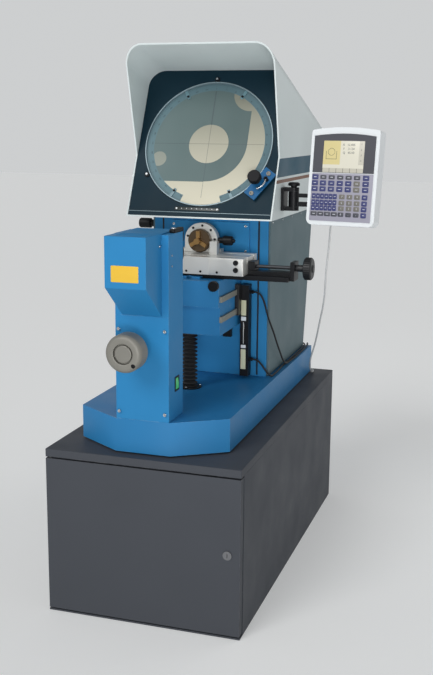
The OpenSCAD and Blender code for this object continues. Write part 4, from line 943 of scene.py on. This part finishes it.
# Two printed polyester films: satin, with a very fine grain.
bezel_film = surface("grey_window_film", "44454C", 0.42, grain=0.8, bump=0.05)
keypad_film = surface("lavender_keypad_film", "A09EAC", 0.5, grain=0.8, bump=0.05)
window = start(bpy.ops.mesh.primitive_grid_add, "display_bezel", x_subdivisions=24, y_subdivisions=1,
               size=1)
window.scale = (0.166, 0.093, 1)
bpy.ops.object.transform_apply()
for vertex in window.data.vertices:
    if vertex.co.y > 0:
        vertex.co.y += 0.0065 * (1 - (vertex.co.x / 0.083) ** 2)
give(window, "SOLIDIFY", thickness=0.0006, offset=1)
settle(window, on_face(0, 59.5, 0), "display", bezel_film)
pad = rounded_plate("display_keypad", 0.166, 0.122, 0.0005, 0.003, 0.0002)
settle(pad, on_face(0, -49.5, 0), "display", keypad_film)

# Liquid crystal: smooth glass, lit a little from behind.
lcd = surface("lcd_panel", "DAD6C6", 0.3, grain=0.6, bump=0.02, shade=0.02)
fields = draw(lcd, (
    ("upper", "GREATER_THAN", "y", 0.034),
    ("left", "LESS_THAN", "x", -0.010),
    ("right", "GREATER_THAN", "x", 0.040),
    ("drawing", "MULTIPLY", "upper", "left"),
    ("list", "MULTIPLY", "upper", "right"),
    ("soft_row", "LESS_THAN", "y", 0.025),
    ("steps", "MULTIPLY_ADD", "x", 54.0, 0.02),
    ("off_step", "PINGPONG", "steps", 0.5),
    ("gap", "LESS_THAN", "off_step", 0.04),
    ("gaps", "MULTIPLY", "soft_row", "gap")), FACE.to_translation(), FACE.to_euler())
for mask, code in (("drawing", "D6C890"), ("list", "C4C0B2"), ("soft_row", "C0BCAE"), ("gaps", "807C70")):
    overpaint(lcd, fields[mask], linear(code))
sockets = shader_of(lcd).inputs
lcd.node_tree.links.new(sockets["Base Color"].links[0].from_socket, sockets["Emission Color"])
sockets["Emission Strength"].default_value = 0.1
glass = rounded_plate("display_lcd", 0.110, 0.080, 0.0004, 0.001, 0.0001)
settle(glass, on_face(-1, 54, 0.6), "display", lcd)
print("display face laid out")

# %% [markdown]
# The liquid crystal shows three plain readings and a small outline of a part. Figures are text
# turned to mesh. The outline is a ring and two bars, joined with them into one print.

# %% Display figures
prints = []
for text, x, y, size in (("X   12.405", 12, 84, 8), ("Y    3.120", 12, 74, 8), ("Q   45.00", 12, 64, 8),
                         ("1", 46, 86, 6), ("2", 46, 72, 6), ("3", 46, 58, 6), ("4", 46, 44, 6)):
    prints.append(figure(text, size / 1000, on_face(x, y, 1.05)))
ring = start(bpy.ops.mesh.primitive_torus_add, "ring", major_radius=0.009, minor_radius=0.0004,
             major_segments=40, minor_segments=6)
ring.matrix_world = on_face(-34, 66, 1.0) @ Matrix.Scale(0.4, 4, (0, 0, 1))
prints.append(ring)
for x, y, wide, tall in ((-34, 48, 30, 0.9), (-48, 58, 0.9, 20), (-20, 58, 0.9, 20)):
    bar = rounded_plate("bar", wide / 1000, tall / 1000, 0.00008, 0.0003, 0.00002)
    bar.matrix_world = on_face(x, y, 1.0)
    prints.append(bar)
print("readings made of", len(prints), "prints")
readings = join(prints, "display_readings")
settle(readings, Matrix.Identity(4), "display", ink)

# %% [markdown]
# The keys are a moulded mat under the film. One key is modelled, a low rounded cushion, then copied
# and laid out in rows. Each colour is joined into one piece, because the mat is moulded in one.

# %% Display keys
# Three colours of moulded silicone: a soft satin.
key_indigo = surface("indigo_keys", "3A3F70", 0.45, grain=0.7, bump=0.06)
key_slate = surface("slate_keys", "4A4B53", 0.45, grain=0.7, bump=0.06)
key_olive = surface("olive_grey_keys", "74716A", 0.45, grain=0.7, bump=0.06)
COLUMNS = (-73.4, -51.4, -28.5, -5.4, 17.5, 40.1, 64)
DIGIT_X = (3, 23.5, 44)
DIGIT_Y = (-47.3, -63, -77.2)
LAST_Y = -92.5
layout = []
for column, x in enumerate(COLUMNS):
    for row, y in enumerate((1.5, -13.5, -28.7)):
        kind = "slate" if row == 0 and 0 < column < 6 else "olive" if column == 5 else "indigo"
        layout.append((x, y, 17, 10.5 if kind == "slate" else 13, kind))
for y in DIGIT_Y:
    layout += [(-74 + column * 11.6, y, 10.9, 13.6, "indigo") for column in range(6)]
    layout += [(x, y, 15.5, 12, "olive") for x in DIGIT_X]
layout += [(-71 + column * 18.6, LAST_Y, 17, 11, "slate") for column in range(4)]
layout += [(x, LAST_Y, 15.5, 11, "slate") for x in DIGIT_X]
layout += [(64, y, 15, 13, "indigo") for y in (*DIGIT_Y, LAST_Y)]
mats = {"indigo": [], "slate": [], "olive": []}
for x, y, wide, tall, kind in layout:
    key = rounded_plate("key", wide / 1000, tall / 1000, 0.0009, 0.0022, 0.0004)
    key.matrix_world = on_face(x, y, 0.5)
    mats[kind].append(key)
for kind, material in (("indigo", key_indigo), ("slate", key_slate), ("olive", key_olive)):
    mat = join(mats[kind], "keys_" + kind)
    settle(mat, Matrix.Identity(4), "display", material)
print("keys:", len(layout))

# %% [markdown]
# White figures and bars finish the keys, so the number block reads as one from close by.

# %% Key figures
legends = []
for y, row in zip((*DIGIT_Y, LAST_Y), ("789", "456", "123", "0.-")):
    for x, text in zip(DIGIT_X, row):
        legends.append(figure(text, 0.0068, on_face(x, y, 1.45)))
for x, y, wide, tall, kind in layout:
    if x in DIGIT_X:
        continue
    bar = rounded_plate("bar", wide / 2400, 0.0014, 0.00008, 0.0005, 0.00002)
    bar.matrix_world = on_face(x, y, 1.4)
    legends.append(bar)
print("legends:", len(legends))
legend = join(legends, "key_figures")
# White ink on the keys: flat and dull.
pale_print = surface("pale_print", "D9DAE2", 0.6, grain=0.6, bump=0.02)
settle(legend, Matrix.Identity(4), "display", pale_print)

# %% [markdown]
# The studio is plain: a pale floor that runs far out, a soft even sky, one broad distant light from
# the front left that models the fronts, a low one that looks up under the hood, and a weak one from
# behind on the right for the far side. The low one has a narrow spread, like a lamp with a grid, so it
# leaves no bright patch on the floor.

# %% Floor, light and view
floor = start(bpy.ops.mesh.primitive_plane_add, "studio_floor", size=40, location=(0, 0, -0.0005))
# Studio paper: dead matt.
pale_floor = surface("pale_floor", "E6E7E7", 0.85, grain=3.0, bump=0.02, shade=0.01, shine=0.2)
shader = shader_of(pale_floor)
shader.inputs["Emission Color"].default_value = linear("F2F3F3")
shader.inputs["Emission Strength"].default_value = 0.28
floor.data.materials.append(pale_floor)
bpy.ops.object.light_add(type="SUN", location=(-1.4, -3.9, 3.0))
sun = bpy.context.object
sun.name = "key_light"
sun.data.energy = 1.1
sun.data.angle = math.radians(30)
sun.rotation_euler = (-sun.location).to_track_quat("-Z", "Y").to_euler()
for name, place, aim, size, power, spread in (
        ("low_fill", (1.25, -4.05, 0.85), (0, -0.1, 1.15), 1.2, 5.8, 50),
        ("side_fill", (1.9, 1.5, 2.0), (0.1, 0.2, 1.0), 1.5, 6, 180)):
    bpy.ops.object.light_add(type="AREA", location=place)
    light = bpy.context.object
    light.name = name
    light.data.size = size
    light.data.energy = power
    light.data.spread = math.radians(spread)
    direction = Vector(aim) - Vector(place)
    light.rotation_euler = direction.to_track_quat("-Z", "Y").to_euler()
world = bpy.data.worlds.new("studio")
scene.world = world
world.use_nodes = True
sky = world.node_tree.nodes["Background"]
sky.inputs["Color"].default_value = linear("E6E8E9")
rays = add_node(world.node_tree, "LightPath").outputs
seen = rays["Is Camera Ray"]
for kind in ("Is Glossy Ray", "Is Transmission Ray"):
    seen = add_node(world.node_tree, "Math", {0: seen, 1: rays[kind]},
                    operation="MAXIMUM").outputs["Value"]
level_mix = add_node(world.node_tree, "MapRange", {"Value": seen, "To Min": 0.32, "To Max": 0.77})
world.node_tree.links.new(level_mix.outputs["Result"], sky.inputs["Strength"])
scene.view_settings.view_transform = "Standard"
